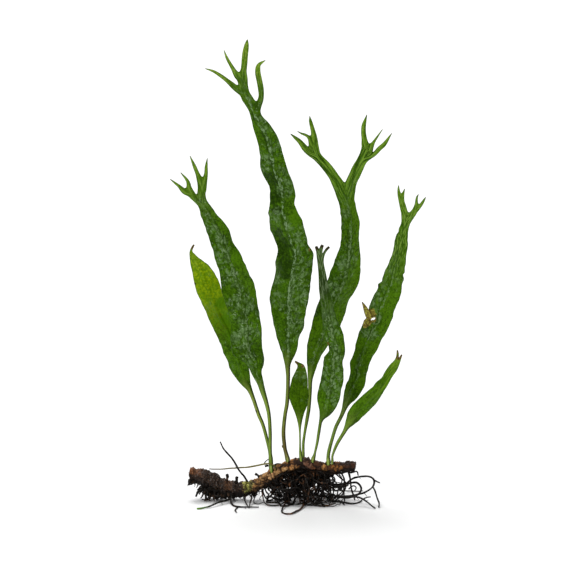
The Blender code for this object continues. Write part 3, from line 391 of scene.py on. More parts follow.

# The live bark's tones from left to right: start, full place, its colour and the painted highlight on its
# knobs' tops
RHIZOME_TONES = (
    (-60.0, -59.0, (168, 120, 68), (232, 182, 120)), (-17.5, -16.0, (166, 114, 66), (234, 184, 126)),
    (-12.6, -11.0, (186, 132, 74), (250, 208, 148)), (-6.6, -5.6, (168, 108, 54), (242, 182, 112)),
    (-0.6, 0.2, (22, 15, 11), (52, 34, 24)), (2.6, 3.4, (104, 66, 48), (176, 128, 100)),
    (6.4, 7.2, (70, 42, 26), (134, 84, 50)), (11.4, 12.0, (150, 100, 46), (222, 164, 92)),
    (13.2, 14.0, (66, 40, 22), (128, 80, 42)), (16.0, 17.0, (120, 74, 30), (190, 126, 58)),
    (21.4, 22.6, (44, 28, 19), (92, 56, 34)),
)

# How far matted dead roots hang under the old part: x, depth
UNDERSIDE = (
    (-49.0, 0.0), (-47.5, 0.8), (-46.2, 3.2), (-42.0, 3.6), (-39.0, 2.2), (-36.0, 1.4), (-30.0, 1.0),
    (-27.0, 0.0),
)

# Broken stubs of old roots on the rhizome: from, to, radius at the foot
ROOT_STUBS = (
    ((-51.5, 2.0, 10.2), (-55.4, 0.4, 8.5), 1.0), ((-46.8, 1.5, 7.6), (-51.5, -1.8, 2.6), 1.4),
    ((-45.0, 3.0, 9.5), (-45.5, 0.5, 0.9), 1.4), ((-47.5, 4.5, 10.0), (-48.5, 8.5, 3.2), 1.1),
    ((-39.0, 2.5, 7.5), (-40.5, -1.8, 1.4), 1.1), ((-35.5, 3.4, 6.2), (-36.4, 5.6, 2.0), 0.9),
    ((-36.0, 2.3, 8.0), (-35.8, 1.2, 13.4), 1.1), ((-32.2, 1.8, 8.0), (-30.6, 0.6, 12.5), 1.3),
    ((-17.6, 0.4, 11.6), (-21.7, -0.6, 14.3), 1.0), ((-42.4, 1.8, 8.0), (-42.8, -2.4, 1.6), 1.0),
    ((-38.6, 4.0, 6.2), (-38.2, 6.4, 1.8), 0.9), ((-30.6, 2.6, 5.4), (-31.4, 4.4, 0.9), 1.0),
    ((-26.8, 2.2, 5.6), (-26.6, 4.4, 1.0), 1.0), ((-22.4, 0.6, 6.8), (-21.8, -1.6, 2.0), 0.9),
    ((-21.0, 2.0, 7.2), (-20.6, 3.8, 2.4), 0.9),
)

# Dark old leaf bases on the stem: centre, radius, height
NODULES = (
    ((-1.3, -1.4, 21.0), 1.3, 1.4), ((0.4, 0.8, 21.2), 1.1, 1.1), ((4.3, -0.6, 21.2), 1.4, 1.3),
    ((10.4, -0.8, 19.6), 1.2, 1.1), ((-9.8, 0.4, 18.0), 1.2, 1.1), ((-12.4, 0.6, 16.2), 1.2, 1.0),
    ((22.0, -0.6, 19.6), 1.5, 0.6), ((-36.0, 1.0, 10.8), 1.4, 1.0),
)

# Clumps of dead roots under the old part: foot, direction, spread along the stem, count, lengths, radii
OLD_CLUMPS = (
    ((-44.0, 1.2, 6.8), (-0.1, -0.8, -1.0), 2.8, 18, (4.0, 11.0), (0.4, 0.95)),
    ((-53.0, 1.6, 10.6), (-0.9, -0.6, -0.5), 0.6, 4, (1.8, 3.4), (0.45, 0.75)),
    ((-45.0, 5.4, 8.6), (0.1, 0.5, -1.0), 2.6, 12, (4.0, 8.0), (0.4, 0.9)),
    ((-40.6, 1.4, 4.6), (0.1, -0.5, -1.0), 2.0, 9, (2.5, 6.0), (0.45, 0.8)),
    ((-36.2, 0.6, 3.8), (0.0, -0.4, -1.0), 1.2, 8, (2.5, 5.5), (0.45, 0.8)),
    ((-31.4, 1.0, 3.8), (0.1, -0.5, -1.0), 2.0, 8, (2.0, 4.8), (0.35, 0.65)),
    ((-32.0, 3.6, 5.0), (0.1, 0.5, -1.0), 3.2, 9, (2.0, 5.0), (0.35, 0.65)),
    ((-24.6, 0.2, 5.8), (0.1, -0.5, -1.0), 1.6, 5, (2.5, 6.0), (0.3, 0.5)),
    ((-21.0, 2.6, 7.0), (0.2, 0.5, -1.0), 1.5, 5, (3.0, 7.0), (0.3, 0.5)),
)

# Roots that stand clear of the mat: their points are (x, y, z), and a branch is its own list of points
UPRIGHT_ROOT = (
    (-25.0, 1.2, 8.5), (-27.3, 0.4, 12.2), (-29.3, -0.8, 15.2), (-32.6, -1.8, 21.6), (-37.1, -2.6, 27.2),
    (-39.3, -3.0, 31.2),
)
RUNNER_ROOT = (
    (-11.4, -1.4, 15.0), (-11.2, -3.2, 18.2), (-13.2, -3.8, 20.0), (-17.0, -3.4, 19.9), (-23.2, -1.0, 18.2),
    (-29.0, 1.6, 16.6), (-34.9, 2.6, 16.1), (-44.8, 3.2, 15.8),
)
GREEN_TIP_ROOT = (
    (-31.5, 1.0, 5.0), (-34.0, -3.4, 2.0), (-36.4, -6.4, 1.5), (-40.0, -10.0, 1.4), (-45.3, -16.0, 0.6),
    (-50.8, -18.7, 0.5),
)
HOOKED_ROOT = (
    (-32.2, 0.4, 5.0), (-33.6, -4.0, 2.2), (-33.6, -8.6, 0.9), (-31.4, -13.8, 0.5), (-26.6, -15.9, 0.5),
    (-23.4, -16.2, 0.5), (-19.9, -15.4, 0.5),
)
HOOKED_ROOT_BRANCHES = (
    ((-30.4, -14.6, 0.5), (-31.4, -18.2, 0.5), (-31.9, -22.4, 0.5), (-30.9, -26.6, 0.5)),
    ((-23.8, 0.2, 5.0), (-23.4, -4.0, 3.4), (-24.2, -10.6, 1.2), (-24.8, -16.0, 0.5)),
    ((-27.0, 0.6, 5.0), (-27.6, -4.0, 2.8), (-26.4, -10.4, 1.0), (-24.8, -16.0, 0.5)),
)
LEFT_LOOP_ROOT = (
    (-18.4, 0.2, 8.4), (-18.0, -4.4, 4.4), (-16.6, -9.0, 1.4), (-13.8, -12.3, 0.5), (-10.2, -11.4, 0.6),
    (-6.0, -5.0, 1.6),
)
FRONT_LOOP_ROOT = (
    (2.4, -8.0, 2.2), (2.0, -15.6, 1.2), (-0.4, -23.4, 0.5), (-3.2, -29.4, 0.5), (-5.4, -30.6, 0.5),
    (-7.8, -26.4, 0.5), (-8.0, -19.6, 0.6), (-5.4, -8.0, 2.4),
)
RIGHT_LOOP_ROOT = (
    (18.5, 0.0, 7.0), (23.4, -0.6, 8.6), (27.4, -2.0, 12.2), (34.0, -4.0, 13.8), (37.9, -5.0, 12.2),
    (37.3, -5.0, 8.4), (33.2, -4.0, 5.2), (27.4, -2.0, 3.4), (18.5, -1.0, 2.2),
)
RIGHT_LOOP_BRANCHES = (
    ((37.8, -5.0, 12.0), (39.4, -5.8, 11.3), (40.8, -6.6, 10.9)),
    ((37.3, -5.0, 8.6), (39.2, -6.8, 5.0), (40.1, -10.6, 2.0), (40.2, -15.6, 0.5)),
)
RIGHT_INNER_ROOT = (
    (18.5, 2.8, 7.2), (23.8, 3.2, 8.2), (28.9, 3.2, 8.7), (31.5, 2.8, 5.6), (29.6, 2.8, 2.6),
    (24.6, 2.8, 1.0), (18.5, 2.8, 1.4),
)
RIGHT_FRONT_ROOT = (
    (17.0, -4.0, 4.0), (23.5, -7.4, 3.9), (29.6, -9.6, 4.4), (34.2, -13.2, 2.8), (38.4, -18.0, 0.5),
)
RIGHT_FLOOR_ROOT = (
    (16.5, -3.0, 0.7), (23.2, -6.0, 0.5), (26.9, -7.4, 0.5), (30.2, -4.6, 0.5), (31.8, -0.6, 0.5),
)
RIGHT_DROP_ROOT = (
    (24.6, 1.0, 17.4), (25.6, 0.8, 12.0), (26.4, 0.5, 8.2), (27.3, 0.3, 4.0), (28.3, 0.4, 0.5),
)
END_STUB_ROOT = (
    (24.8, 0.8, 15.8), (25.6, 0.3, 14.5), (27.2, 0.1, 14.9), (28.9, 0.0, 15.4), (29.7, -0.2, 14.8),
    (30.0, -0.4, 13.2),
)
BACK_LEFT_ROOT = (
    (-6.0, 7.0, 3.6), (-10.6, 13.6, 1.4), (-13.6, 20.8, 0.5), (-10.6, 27.8, 0.5), (-4.0, 30.6, 0.5),
    (2.0, 27.0, 0.5), (4.2, 19.0, 0.7), (4.6, 8.0, 2.4),
)
BACK_RIGHT_ROOT = ((13.0, 6.0, 4.6), (18.6, 12.6, 2.6), (25.2, 18.6, 0.6), (32.6, 20.2, 0.5))
BACK_OLD_ROOT = ((-42.0, 4.6, 9.0), (-41.0, 9.4, 3.6), (-37.6, 14.6, 0.8), (-31.0, 18.4, 0.5))


# Small tools


def step(low, high, value):
    """0 below low and 1 above high, with a smooth rise between them."""
    t = np.clip((value - low) / (high - low), 0.0, 1.0)
    return t * t * (3.0 - 2.0 * t)


def mix(a, b, share):
    return a + (b - a) * share


def unit(vector):
    return vector / np.linalg.norm(vector)


def hashed(i, j, seed):
    """A repeatable number from 0 to 1 for each pair of whole numbers."""
    i, j = i.astype(np.int64), j.astype(np.int64)
    h = (i * HASH_FACTORS[0] + j * HASH_FACTORS[1] + np.int64(seed) * HASH_FACTORS[2]) & HASH_MASK
    for shift, factor in HASH_STIRS:
        h = ((h ^ (h >> shift)) * factor) & HASH_MASK
    return ((h ^ (h >> 16)) & HASH_MASK) / float(HASH_MASK)


def soft_noise(a, b, seed):
    """Smooth noise from -1 to 1 with features about one unit wide."""
    i, j = np.floor(a), np.floor(b)
    s, t = step(0.0, 1.0, a - i), step(0.0, 1.0, b - j)
    low = mix(hashed(i, j, seed), hashed(i + 1, j, seed), s)
    high = mix(hashed(i, j + 1, seed), hashed(i + 1, j + 1, seed), s)
    return 2.0 * mix(low, high, t) - 1.0


def cells(a, b, seed):
    """Distances to the nearest and second nearest of scattered points, and the nearest one's number."""
    i, j = np.floor(a), np.floor(b)
    first = second = np.full(a.shape, np.inf)
    number = np.zeros(a.shape)
    for di in (-1, 0, 1):
        for dj in (-1, 0, 1):
            x = i + di + 0.1 + 0.8 * hashed(i + di, j + dj, seed)
            y = j + dj + 0.1 + 0.8 * hashed(i + di, j + dj, seed + 101)
            reach = np.hypot(x - a, y - b)
            nearer = reach < first
            second = np.where(nearer, first, np.minimum(second, reach))
            number = np.where(nearer, hashed(i + di, j + dj, seed + 202), number)
            first = np.where(nearer, reach, first)
    return first, second, number


def add_object(name, data):
    item = bpy.data.objects.new(name, data)
    bpy.context.scene.collection.objects.link(item)
    return item


def make_piece(name, points, faces, values, material, slot, replaced):
    """A smooth mesh from points in millimetres, with one number per point for each named value."""
    mesh = bpy.data.meshes.new(name)
    mesh.from_pydata((points * MM).tolist(), [], faces)
    for label, numbers in values.items():
        layer = mesh.attributes.new(label, "FLOAT", "POINT")
        layer.data.foreach_set("value", np.asarray(numbers, dtype=np.float32))
    mesh.validate()
    mesh.shade_smooth()
    mesh.materials.append(material)
    piece = add_object(name, mesh)
    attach(piece, "root")
    if replaced:
        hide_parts(*replaced)


# Leaves


def heading_of(before, after):
    return unit(np.array(after[:2]) - np.array(before[:2]))


def count_tips(arms):
    return sum(count_tips(arm[2]) for arm in arms) or 1


def seen_of(points):
    """Heights as the camera sees them."""
    return points[..., 2] * math.cos(SIGHT_TILT) + points[..., 1] * math.sin(SIGHT_TILT) - OUTLINE_LIFT


def coarse_row(row, heading, fractions, leaf):
    """The frame's own row of points, with more of them across."""
    x, seen, width, depth = row
    depth = leaf["foot"] + LEAF_SPREAD * (depth - leaf["foot"])
    ruffled = step(*RUFFLED_WIDTHS, width)
    across = 2.0 * fractions - 1.0
    reach = across * width / 2.0
    wave = np.sin(2.0 * math.pi * seen / RUFFLE_LENGTH + leaf["phase"] + RUFFLE_SKEW * across)
    lean = depth + ruffled * (leaf["twist"] * reach + RUFFLE_DEPTH * width * np.abs(across) * wave)
    height = seen - reach * heading[0] + OUTLINE_LIFT
    z = (height - lean * math.sin(SIGHT_TILT)) / math.cos(SIGHT_TILT)
    return np.stack([x + reach * heading[1], lean, z], axis=-1)


def stalk_share(seen, leaf):
    low = leaf["stalk_top"] - STALK_BLEND_BELOW
    return 1.0 - step(low, leaf["stalk_top"] + STALK_BLEND_ABOVE, seen)


def plan_stretch(start, start_row, rows, arms, columns, leaf):
    """Coarse rows from a starting one to a fork or tip, and then those of the arms."""
    even = parted = np.linspace(0.0, 1.0, columns + 1)
    if arms:
        share = arms[0][0]
        tips = [count_tips(arm[2]) for arm in arms]
        left = columns * tips[0] // sum(tips)
        parted = np.concatenate([
            share * np.arange(left) / left,
            share + (1.0 - share) * np.arange(columns - left + 1) / (columns - left),
        ])
    points, fractions = [start], [even]
    for index, row in enumerate(rows):
        before = rows[index - 1] if index else start_row
        after = rows[min(index + 1, len(rows) - 1)]
        placed = mix(even, parted, step(-PARTING_ROWS, 0.0, index + 1.0 - len(rows)))
        placed = mix(placed, 0.5 - 0.5 * np.cos(math.pi * placed), stalk_share(row[1], leaf))
        points.append(coarse_row(row, heading_of(before, after), placed, leaf))
        fractions.append(placed)
    gaps = [np.linalg.norm((b[0] + b[-1] - a[0] - a[-1]) / 2.0) for a, b in zip(points, points[1:])]
    stretch = {"points": points, "fractions": fractions, "gaps": gaps, "reach": sum(gaps), "arms": []}
    stretch["seen"] = [row[1] for row in (start_row, *rows)]
    stretch["widths"] = [row[2] for row in (start_row, *rows)]
    if arms:
        stretch["share"] = share
        parts = (slice(0, left + 1), slice(left, columns + 1))
        for arm, part, own in zip(arms, parts, (share, 1.0 - share)):
            first = points[-1][part]
            middle = (first[0] + first[-1]) / 2.0
            row = (middle[0], seen_of(middle), own * rows[-1][2])
            made = plan_stretch(first, row, arm[1], arm[2], part.stop - part.start - 1, leaf)
            stretch["arms"].append((made, part))
    return stretch


def reach_to_tip(stretch):
    return stretch["reach"] + max([reach_to_tip(arm) for arm, part in stretch["arms"]], default=0.0)


def to_forks(stretch, behind, travelled):
    """Distance to the nearest fork before or after a row."""
    ahead = stretch["reach"] - travelled if stretch["arms"] else math.inf
    return min(ahead, travelled if behind is not None else math.inf)


def nudged(points, fractions, width, seen, leaf):
    """A row with its margins moved out or in: a little everywhere, and where the leaf's nudges say so."""
    across = 2.0 * fractions - 1.0
    run = points[-1] - points[0]
    out = run / max(np.linalg.norm(run), TINY)
    broad = step(*WAVER_WIDTHS, width)
    shift = np.zeros(len(fractions))
    for side in (-1.0, 1.0):
        waver = float(soft_noise(np.array(seen / WAVER_LENGTH), np.array(7.0 * side), 31))
        reach = MARGIN_WAVER * broad * waver
        for nudge_side, place, spread, size in leaf["nudges"]:
            if nudge_side == side:
                reach += size * math.exp(-(((seen - place) / spread) ** 2))
        shift += side * reach * np.clip(side * across, 0.0, 1.0) ** 2
    return points + out * shift[:, None]


def refine_stretch(stretch, sheet, start_ids, behind, behind_gap, along, leaf):
    """Fine rows on smooth curves through the coarse ones, down every column."""
    rows, gaps = stretch["points"], stretch["gaps"]
    ahead, ahead_gap = None, 0.0
    if stretch["arms"]:
        (left, part), (right, part) = stretch["arms"]
        a, b = left["points"][1], right["points"][1]
        ahead = np.concatenate([a[:-1], [(a[-1] + b[0]) / 2.0], b[1:]])
        ahead_gap = (left["gaps"][0] + right["gaps"][0]) / 2.0
    id_rows = [start_ids]
    tail = reach_to_tip(stretch) - stretch["reach"]
    travelled = 0.0
    for index, gap in enumerate(gaps):
        p1, p2 = rows[index], rows[index + 1]
        p0, g0 = (rows[index - 1], gaps[index - 1]) if index else (behind, behind_gap)
        p3, g3 = (rows[index + 2], gaps[index + 1]) if index + 2 < len(rows) else (ahead, ahead_gap)
        m1 = (p2 - p1) if p0 is None else (p2 - p0) * gap / (gap + g0)
        m2 = (p2 - p1) if p3 is None else (p3 - p1) * gap / (gap + g3)
        fractions_here, seen_here, widths_here = (
            stretch[key][index : index + 2] for key in ("fractions", "seen", "widths")
        )
        count = max(1, round(gap / ROW_STEP))
        for number in range(1, count + 1):
            t = number / count
            blend = t * t * (3.0 - 2.0 * t)
            points = p1 * (1.0 - blend) + p2 * blend
            points = points + m1 * (t * (1.0 - t) ** 2) + m2 * (t * t * (t - 1.0))
            fractions = mix(*fractions_here, t)
            width = mix(*widths_here, blend)
            seen = mix(*seen_here, t)
            clear = to_forks(stretch, behind, travelled + gap * t)
            if clear > NUDGE_CLEARANCE:
                points = nudged(points, fractions, width, seen, leaf)
            to_end = stretch["reach"] - travelled - gap * t
            to_edge = np.minimum(fractions, 1.0 - fractions) * width
            rib = (fractions - 0.5) * width
            if stretch["arms"]:
                share = stretch["share"]
                parted = 1.0 - step(0.0, 2.0 + 0.9 * width, to_end)
                ribs = [mix(0.5, share / 2.0, parted), mix(0.5, (1.0 + share) / 2.0, parted)]
                offsets = [(fractions - place) * width for place in ribs]
                rib = np.where(np.abs(offsets[0]) < np.abs(offsets[1]), *offsets)
                to_edge = np.minimum(to_edge, np.hypot((fractions - share) * width, to_end))
            id_rows.append(sheet.add_row(
                points,
                fork=1.0 - step(*FORK_SOFTENING, clear),
                fraction=fractions,
                width=width,
                along=along + travelled + gap * t,
                rib=rib,
                edge=to_edge,
                to_tip=to_end + tail,
                round=stalk_share(seen, leaf),
                seen=seen,
            ))
        travelled += gap
    sheet.grids.append(np.array(id_rows))
    for arm, part in stretch["arms"]:
        refine_stretch(arm, sheet, id_rows[-1][part], rows[-2][part], gaps[-1], along + travelled, leaf)


class Sheet:
    """A growing list of points with their values, and the grids of rows that join them."""

    def __init__(self):
        self.points = []
        self.values = []
        self.grids = []
        self.size = 0

    def add_row(self, points, **values):
        ids = np.arange(self.size, self.size + len(points))
        self.size += len(points)
        self.points.append(points)
        self.values.append({key: np.broadcast_to(value, len(points)) for key, value in values.items()})
        return ids

    def finish(self):
        points = np.concatenate(self.points)
        keys = self.values[0]
        return points, {key: np.concatenate([row[key] for row in self.values]) for key in keys}


def grid_quads(grids):
    quads = []
    for grid in grids:
        corners = [grid[:-1, :-1], grid[:-1, 1:], grid[1:, 1:], grid[1:, :-1]]
        quads.append(np.stack(corners, axis=-1).reshape(-1, 4))
    return np.concatenate(quads)


def quad_edges(quads, count):
    """Every quad's edges, and a number for each that is the same whichever way the edge runs."""
    edges = np.concatenate([quads[:, [corner, (corner + 1) % 4]] for corner in range(4)])
    ends = np.sort(edges, axis=1)
    return edges, ends[:, 0] * count + ends[:, 1]


def sheet_normals(points, quads):
    a, b, c, d = (points[quads[:, corner]] for corner in range(4))
    flat = np.cross(c - a, d - b)
    normals = np.zeros(points.shape)
    for corner in range(4):
        np.add.at(normals, quads[:, corner], flat)
    return normals / np.maximum(np.linalg.norm(normals, axis=1), TINY)[:, None]


def relax_forks(points, quads, share):
    """Smooth the sheet near its forks, the margin along itself."""
    count = len(points)
    keys, uses = np.unique(quad_edges(quads, count)[1], return_counts=True)
    pairs = np.stack([keys // count, keys % count], axis=-1)
    margin = np.zeros(count, dtype=bool)
    margin[pairs[uses == 1]] = True
    use = (uses == 1) | ~(margin[pairs[:, 0]] | margin[pairs[:, 1]])
    inward = pairs[margin[pairs[:, 0]] != margin[pairs[:, 1]]]
    turned = np.where(margin[inward[:, :1]], inward[:, ::-1], inward)
    both = np.concatenate([pairs[use], pairs[use][:, ::-1], turned])
    for repeat in range(FORK_PASSES):
        total = np.zeros(points.shape)
        weight = np.zeros(count)
        np.add.at(total, both[:, 0], points[both[:, 1]])
        np.add.at(weight, both[:, 0], 1.0)
        middle = total / np.maximum(weight, 1.0)[:, None]
        points = points + 0.5 * (share * (weight > 1.0))[:, None] * (middle - points)
    return points


def mark_strength(points, marks, kind, seed):
    """How strongly each point is marked, from (kind, x, height as seen, radius) spots with ragged rims."""
    x, seen = points[:, 0], seen_of(points)
    rag = 1.0 + 0.35 * soft_noise(x * 0.9, seen * 0.9, seed)
    strength = np.zeros(len(points))
    for label, mark_x, mark_seen, radius in marks:
        if label == kind:
            reach = np.hypot(x - mark_x, seen - mark_seen) * rag / radius
            strength = np.maximum(strength, 1.0 - step(0.55, 1.2, reach))
    return strength


def fold_slopes(seen, folds):
    """Slopes of the left and right halves away from the viewer, from (seen, left, right) places."""
    places, left, right = zip(*folds)
    return np.interp(seen, places, left), np.interp(seen, places, right)


def leaf_relief(v, leaf, seed):
    """Height of the blade's skin over the smooth sheet, towards the viewer, and the blisters' values."""
    blade = (1.0 - v["round"]) * step(3.0, 9.0, v["width"])
    u, s = v["rib"], v["along"]
    off = np.abs(u)
    slant = s - VEIN_SLANT * off + 1.6 * soft_noise(s / 4.6, u / 3.6, seed + 5)
    wide = u + 1.4 * soft_noise(s / 3.7 + 9.0, u / 3.4, seed + 6)
    first, second, number = cells(slant / BLISTER_LENGTH, wide / BLISTER_WIDTH, seed)
    dome = step(0.0, 0.5, second - first)
    first, second, small_number = cells(slant / SMALL_BLISTER_LENGTH, wide / SMALL_BLISTER_WIDTH, seed + 40)
    small = step(0.0, 0.5, second - first)
    number = 0.6 * number + 0.4 * small_number
    inner = step(0.4, 1.6, off) * step(0.0, 1.6, v["edge"])
    lift = leaf["blister"] * (dome * (0.3 + 1.3 * number) - 0.5) * inner
    lift += 0.42 * leaf["blister"] * (small - 0.5) * inner
    lift += leaf["swell"] * soft_noise(s / 8.0, u / 5.5, seed + 7) * step(0.0, 3.0, off)
    lift += RIB_HEIGHT * np.exp(-((u / 0.42) ** 2)) - 0.5 * RIB_HEIGHT * np.exp(-(((off - 1.0) / 0.5) ** 2))
    across = np.abs(2.0 * v["fraction"] - 1.0)
    lift += leaf["frill"] * across**4 * soft_noise(s / 3.6, np.sign(u) * 3.0, seed + 8)
    left, right = fold_slopes(v["seen"], leaf["folds"])
    lift -= np.where(u < 0.0, left, right) * np.maximum(off - 0.3, 0.0)
    return lift * blade, dome * inner * blade, number


def half_thickness(v):
    across = np.clip(np.abs(2.0 * v["fraction"] - 1.0), 0.0, 1.0)
    rod = 0.5 * v["width"] * np.sqrt(np.clip(1.0 - across**2, 0.0, 1.0)) + 0.03
    rib = 0.24 * np.exp(-((v["rib"] / 0.7) ** 2)) * np.minimum(1.0, v["to_tip"] / 25.0)
    blade = 0.5 * mix(BLADE_THICKNESS, MARGIN_THICKNESS, step(0.5, 1.0, across)) + rib
    blade = np.minimum(blade, 0.08 + 0.22 * v["width"])
    return mix(blade, rod, v["round"])


def leaf_sheet(leaf):
    """The leaf's middle surface: points, quads and values."""
    columns, row = leaf["columns"], leaf["rows"][0]
    sheet = Sheet()
    fractions = np.linspace(0.0, 1.0, columns + 1)
    foot = coarse_row(row, heading_of(*leaf["rows"][:2]), fractions, leaf)
    ids = sheet.add_row(
        foot,
        fork=0.0,
        fraction=fractions,
        width=row[2],
        along=0.0,
        rib=(fractions - 0.5) * row[2],
        edge=np.minimum(fractions, 1.0 - fractions) * row[2],
        to_tip=200.0,
        round=stalk_share(row[1], leaf),
        seen=row[1],
    )
    plan = plan_stretch(foot, row, leaf["rows"][1:], leaf["arms"], columns, leaf)
    refine_stretch(plan, sheet, ids, None, 0.0, 0.0, leaf)
    points, values = sheet.finish()
    quads = grid_quads(sheet.grids)
    points = relax_forks(points, quads, values["fork"])
    for x, seen, long, short, turn in leaf["holes"]:
        middle = points[quads].mean(axis=1)
        dx, dy = middle[:, 0] - x, seen_of(middle) - seen
        a = dx * math.cos(turn) + dy * math.sin(turn)
        b = dy * math.cos(turn) - dx * math.sin(turn)
        quads = quads[(a / long) ** 2 + (b / short) ** 2 > 1.0]
    return points, quads, values


def make_leaf_skin(leaf, seed):
    """Closed skin of one leaf: points, faces and the values that its material reads."""
    points, quads, v = leaf_sheet(leaf)
    lift, dome, number = leaf_relief(v, leaf, seed)
    points = points + sheet_normals(points, quads) * lift[:, None]
    reach = sheet_normals(points, quads) * half_thickness(v)[:, None]
    count = len(points)
    edges, keys = quad_edges(quads, count)
    where, uses = np.unique(keys, return_inverse=True, return_counts=True)[1:]
    rim = edges[uses[where] == 1]
    walls = np.stack([rim[:, 1], rim[:, 0], rim[:, 0] + count, rim[:, 1] + count], axis=-1)
    faces = np.concatenate([quads, quads[:, ::-1] + count, walls])
    spots = {
        kind: mark_strength(points, leaf["marks"], kind, seed + offset)
        for kind, offset in MARK_SEED_OFFSETS.items()
    }
    # Where the grey-green sheen is painted: a level for each half, noise, and marks that add or take it away
    painted_sheen = np.where(v["rib"] < 0.0, *leaf["painted_sheen"])
    painted_sheen = painted_sheen + 0.5 * soft_noise(v["along"] / 6.5, v["rib"] / 3.5, seed + 88)
    painted_sheen += 0.25 * soft_noise(v["along"] / 2.2, v["rib"] / 1.6, seed + 89)
    painted_sheen += 0.7 * spots.pop("painted_sheen")
    painted_sheen -= 0.9 * spots.pop("sheen_free")
    values = {
        **spots,
        "rib": v["rib"],
        "along": v["along"],
        "edge": v["edge"],
        "stalk": v["round"],
        "prong": 1.0 - step(4.0, 20.0, v["to_tip"]),
        "tip": 1.0 - step(0.0, 1.6, v["to_tip"]),
        "lane": 1.0 - step(*leaf["lanes"], v["to_tip"]),
        "dome": dome,
        "cell": number,
        "across": 2.0 * v["fraction"] - 1.0,
        "height": v["seen"],
        "painted_sheen": np.clip(painted_sheen, 0.0, 1.0),
    }
    used = np.zeros(2 * count, dtype=bool)
    used[faces] = True
    points = np.concatenate([points + reach, points - reach])[used]
    values = {key: np.tile(numbers, 2)[used] for key, numbers in values.items()}
    return points, (np.cumsum(used) - 1)[faces], values


# Rhizome and roots


def smooth_route(points, spacing):
    """Points of a smooth curve through the given ones, about one spacing apart."""
    ends = [points[0], *points, points[-1]]
    route = []
    for knots in zip(ends, ends[1:], ends[2:], ends[3:]):
        v0, v1, v2, v3 = (np.array(knot, dtype=float) for knot in knots)
        count = max(1, round(float(np.linalg.norm((v2 - v1)[:3])) / spacing))
        for index in range(count):
            t = index / count
            bend = (2.0 * v0 - 5.0 * v1 + 4.0 * v2 - v3) * t * t
            curl = (3.0 * v1 - v0 - 3.0 * v2 + v3) * t * t * t
            route.append(v1 + 0.5 * ((v2 - v0) * t + bend + curl))
    route.append(np.array(points[-1], dtype=float))
    return np.array(route)


def rings_round(centres, sides):
    """The route's directions, the turns round it, and the outward directions of each ring, without twist."""
    along = np.gradient(centres, axis=0)
    along /= np.maximum(np.linalg.norm(along, axis=1), TINY)[:, None]
    side = np.array(Vector(along[0]).orthogonal().normalized())
    first = []
    for direction in along:
        side = unit(side - direction * side.dot(direction))
        first.append(side)
    first = np.array(first)
    second = np.cross(along, first)
    turns = 2.0 * math.pi * np.arange(sides) / sides
    out = first[:, None] * np.cos(turns)[None, :, None] + second[:, None] * np.sin(turns)[None, :, None]
    return along, turns, out


def tube_faces(ids):
    """Faces between rings of points, from the rings' rows of numbers."""
    ahead = np.roll(ids, -1, axis=1)
    return np.stack([ids[:-1], ahead[:-1], ahead[1:], ids[1:]], axis=-1).reshape(-1, 4).tolist()


def above_floor(points):
    points[:, 2] = np.maximum(points[:, 2], FLOOR_CLEARANCE)
    return points


def taper(count, radius, tip_share, power=3.0):
    run = np.linspace(0.0, 1.0, count)
    return radius * (1.0 - (1.0 - tip_share) * run**power)


class Strands:
    """A growing closed mesh of tubes, with values for the materials."""

    def __init__(self):
        self.points = []
        self.faces = []
        self.values = {"tip": [], "shade": []}
        self.size = 0

    def add(self, centres, thickness, sides, shade, knobs, seed, waver=1.0):
        """Add a tube; its thickness is the radius, the share of it at the tip and how late it thins."""
        count = len(centres)
        radii = waver * taper(count, *thickness)
        out = rings_round(centres, sides)[-1]
        run = np.concatenate([[0.0], np.cumsum(np.linalg.norm(np.diff(centres, axis=0), axis=1))])
        a, b = np.meshgrid(run / 1.1 + seed * 3.7, np.arange(sides) * 1.3, indexing="ij")
        swell = 1.0 + knobs * soft_noise(a, b, seed)
        rings = centres[:, None] + out * (radii[:, None] * swell)[:, :, None]
        ids = self.size + np.arange(count * sides).reshape(count, sides)
        self.points.append(rings.reshape(-1, 3))
        self.faces += [*tube_faces(ids), ids[0][::-1].tolist(), ids[-1].tolist()]
        self.values["tip"].append(np.repeat(run / run[-1], sides))
        self.values["shade"].append(np.full(count * sides, shade))
        self.size += count * sides

    def finish(self, name, material, slot, replaced):
        points = above_floor(np.concatenate(self.points))
        values = {key: np.concatenate(numbers) for key, numbers in self.values.items()}
        make_piece(name, points, self.faces, values, material, slot, replaced)


def wiggle(centres, size, length, seed):
    """The route with small smooth bends that fade in from its ends."""
    run = np.arange(len(centres)) * np.linalg.norm(centres[1] - centres[0])
    fade = step(0.0, 2.0, run) * step(0.0, 2.0, run[::-1])
    bends = [soft_noise(run / length, np.full(len(run), 5.0 * axis + seed), seed) for axis in range(3)]
    return centres + size * fade[:, None] * np.stack(bends, axis=-1)


def make_root(name, routes, radius, tip_share, material, slot, seed):
    """One root with its branches and rootlets, over the frame's solid of the same name."""
    strands = Strands()
    for number, points in enumerate(routes):
        centres = wiggle(smooth_route(points, 0.5), 0.28, 3.4, seed + 13 * number)
        count = len(centres)
        own = radius * (BRANCH_SHARE if number else 1.0)
        waver = 1.0 + 0.12 * soft_noise(np.arange(count) * 0.22, np.full(count, 2.0 + number), seed)
        strands.add(centres, (own, tip_share), 10, (seed % 7) / 7.0, 0.12, seed + number, waver)
    for start, end, thick in ROOTLETS.get(name, ()):
        centres = wiggle(smooth_route((start, end), 0.4), 0.25, 1.7, seed + 51)
        strands.add(centres, (thick, 0.3, 1.5), 6, 0.4, 0.1, seed)
    strands.finish(name + "_skin", material, slot, (name,))


def rhizome_radius_at(route):
    index = np.arange(len(route)) * RHIZOME_STEP / RHIZOME_RING_STEP
    return route[:, 3] * (1.0 + RHIZOME_RING_SWELL * np.sin(RHIZOME_RING_RATE * index))


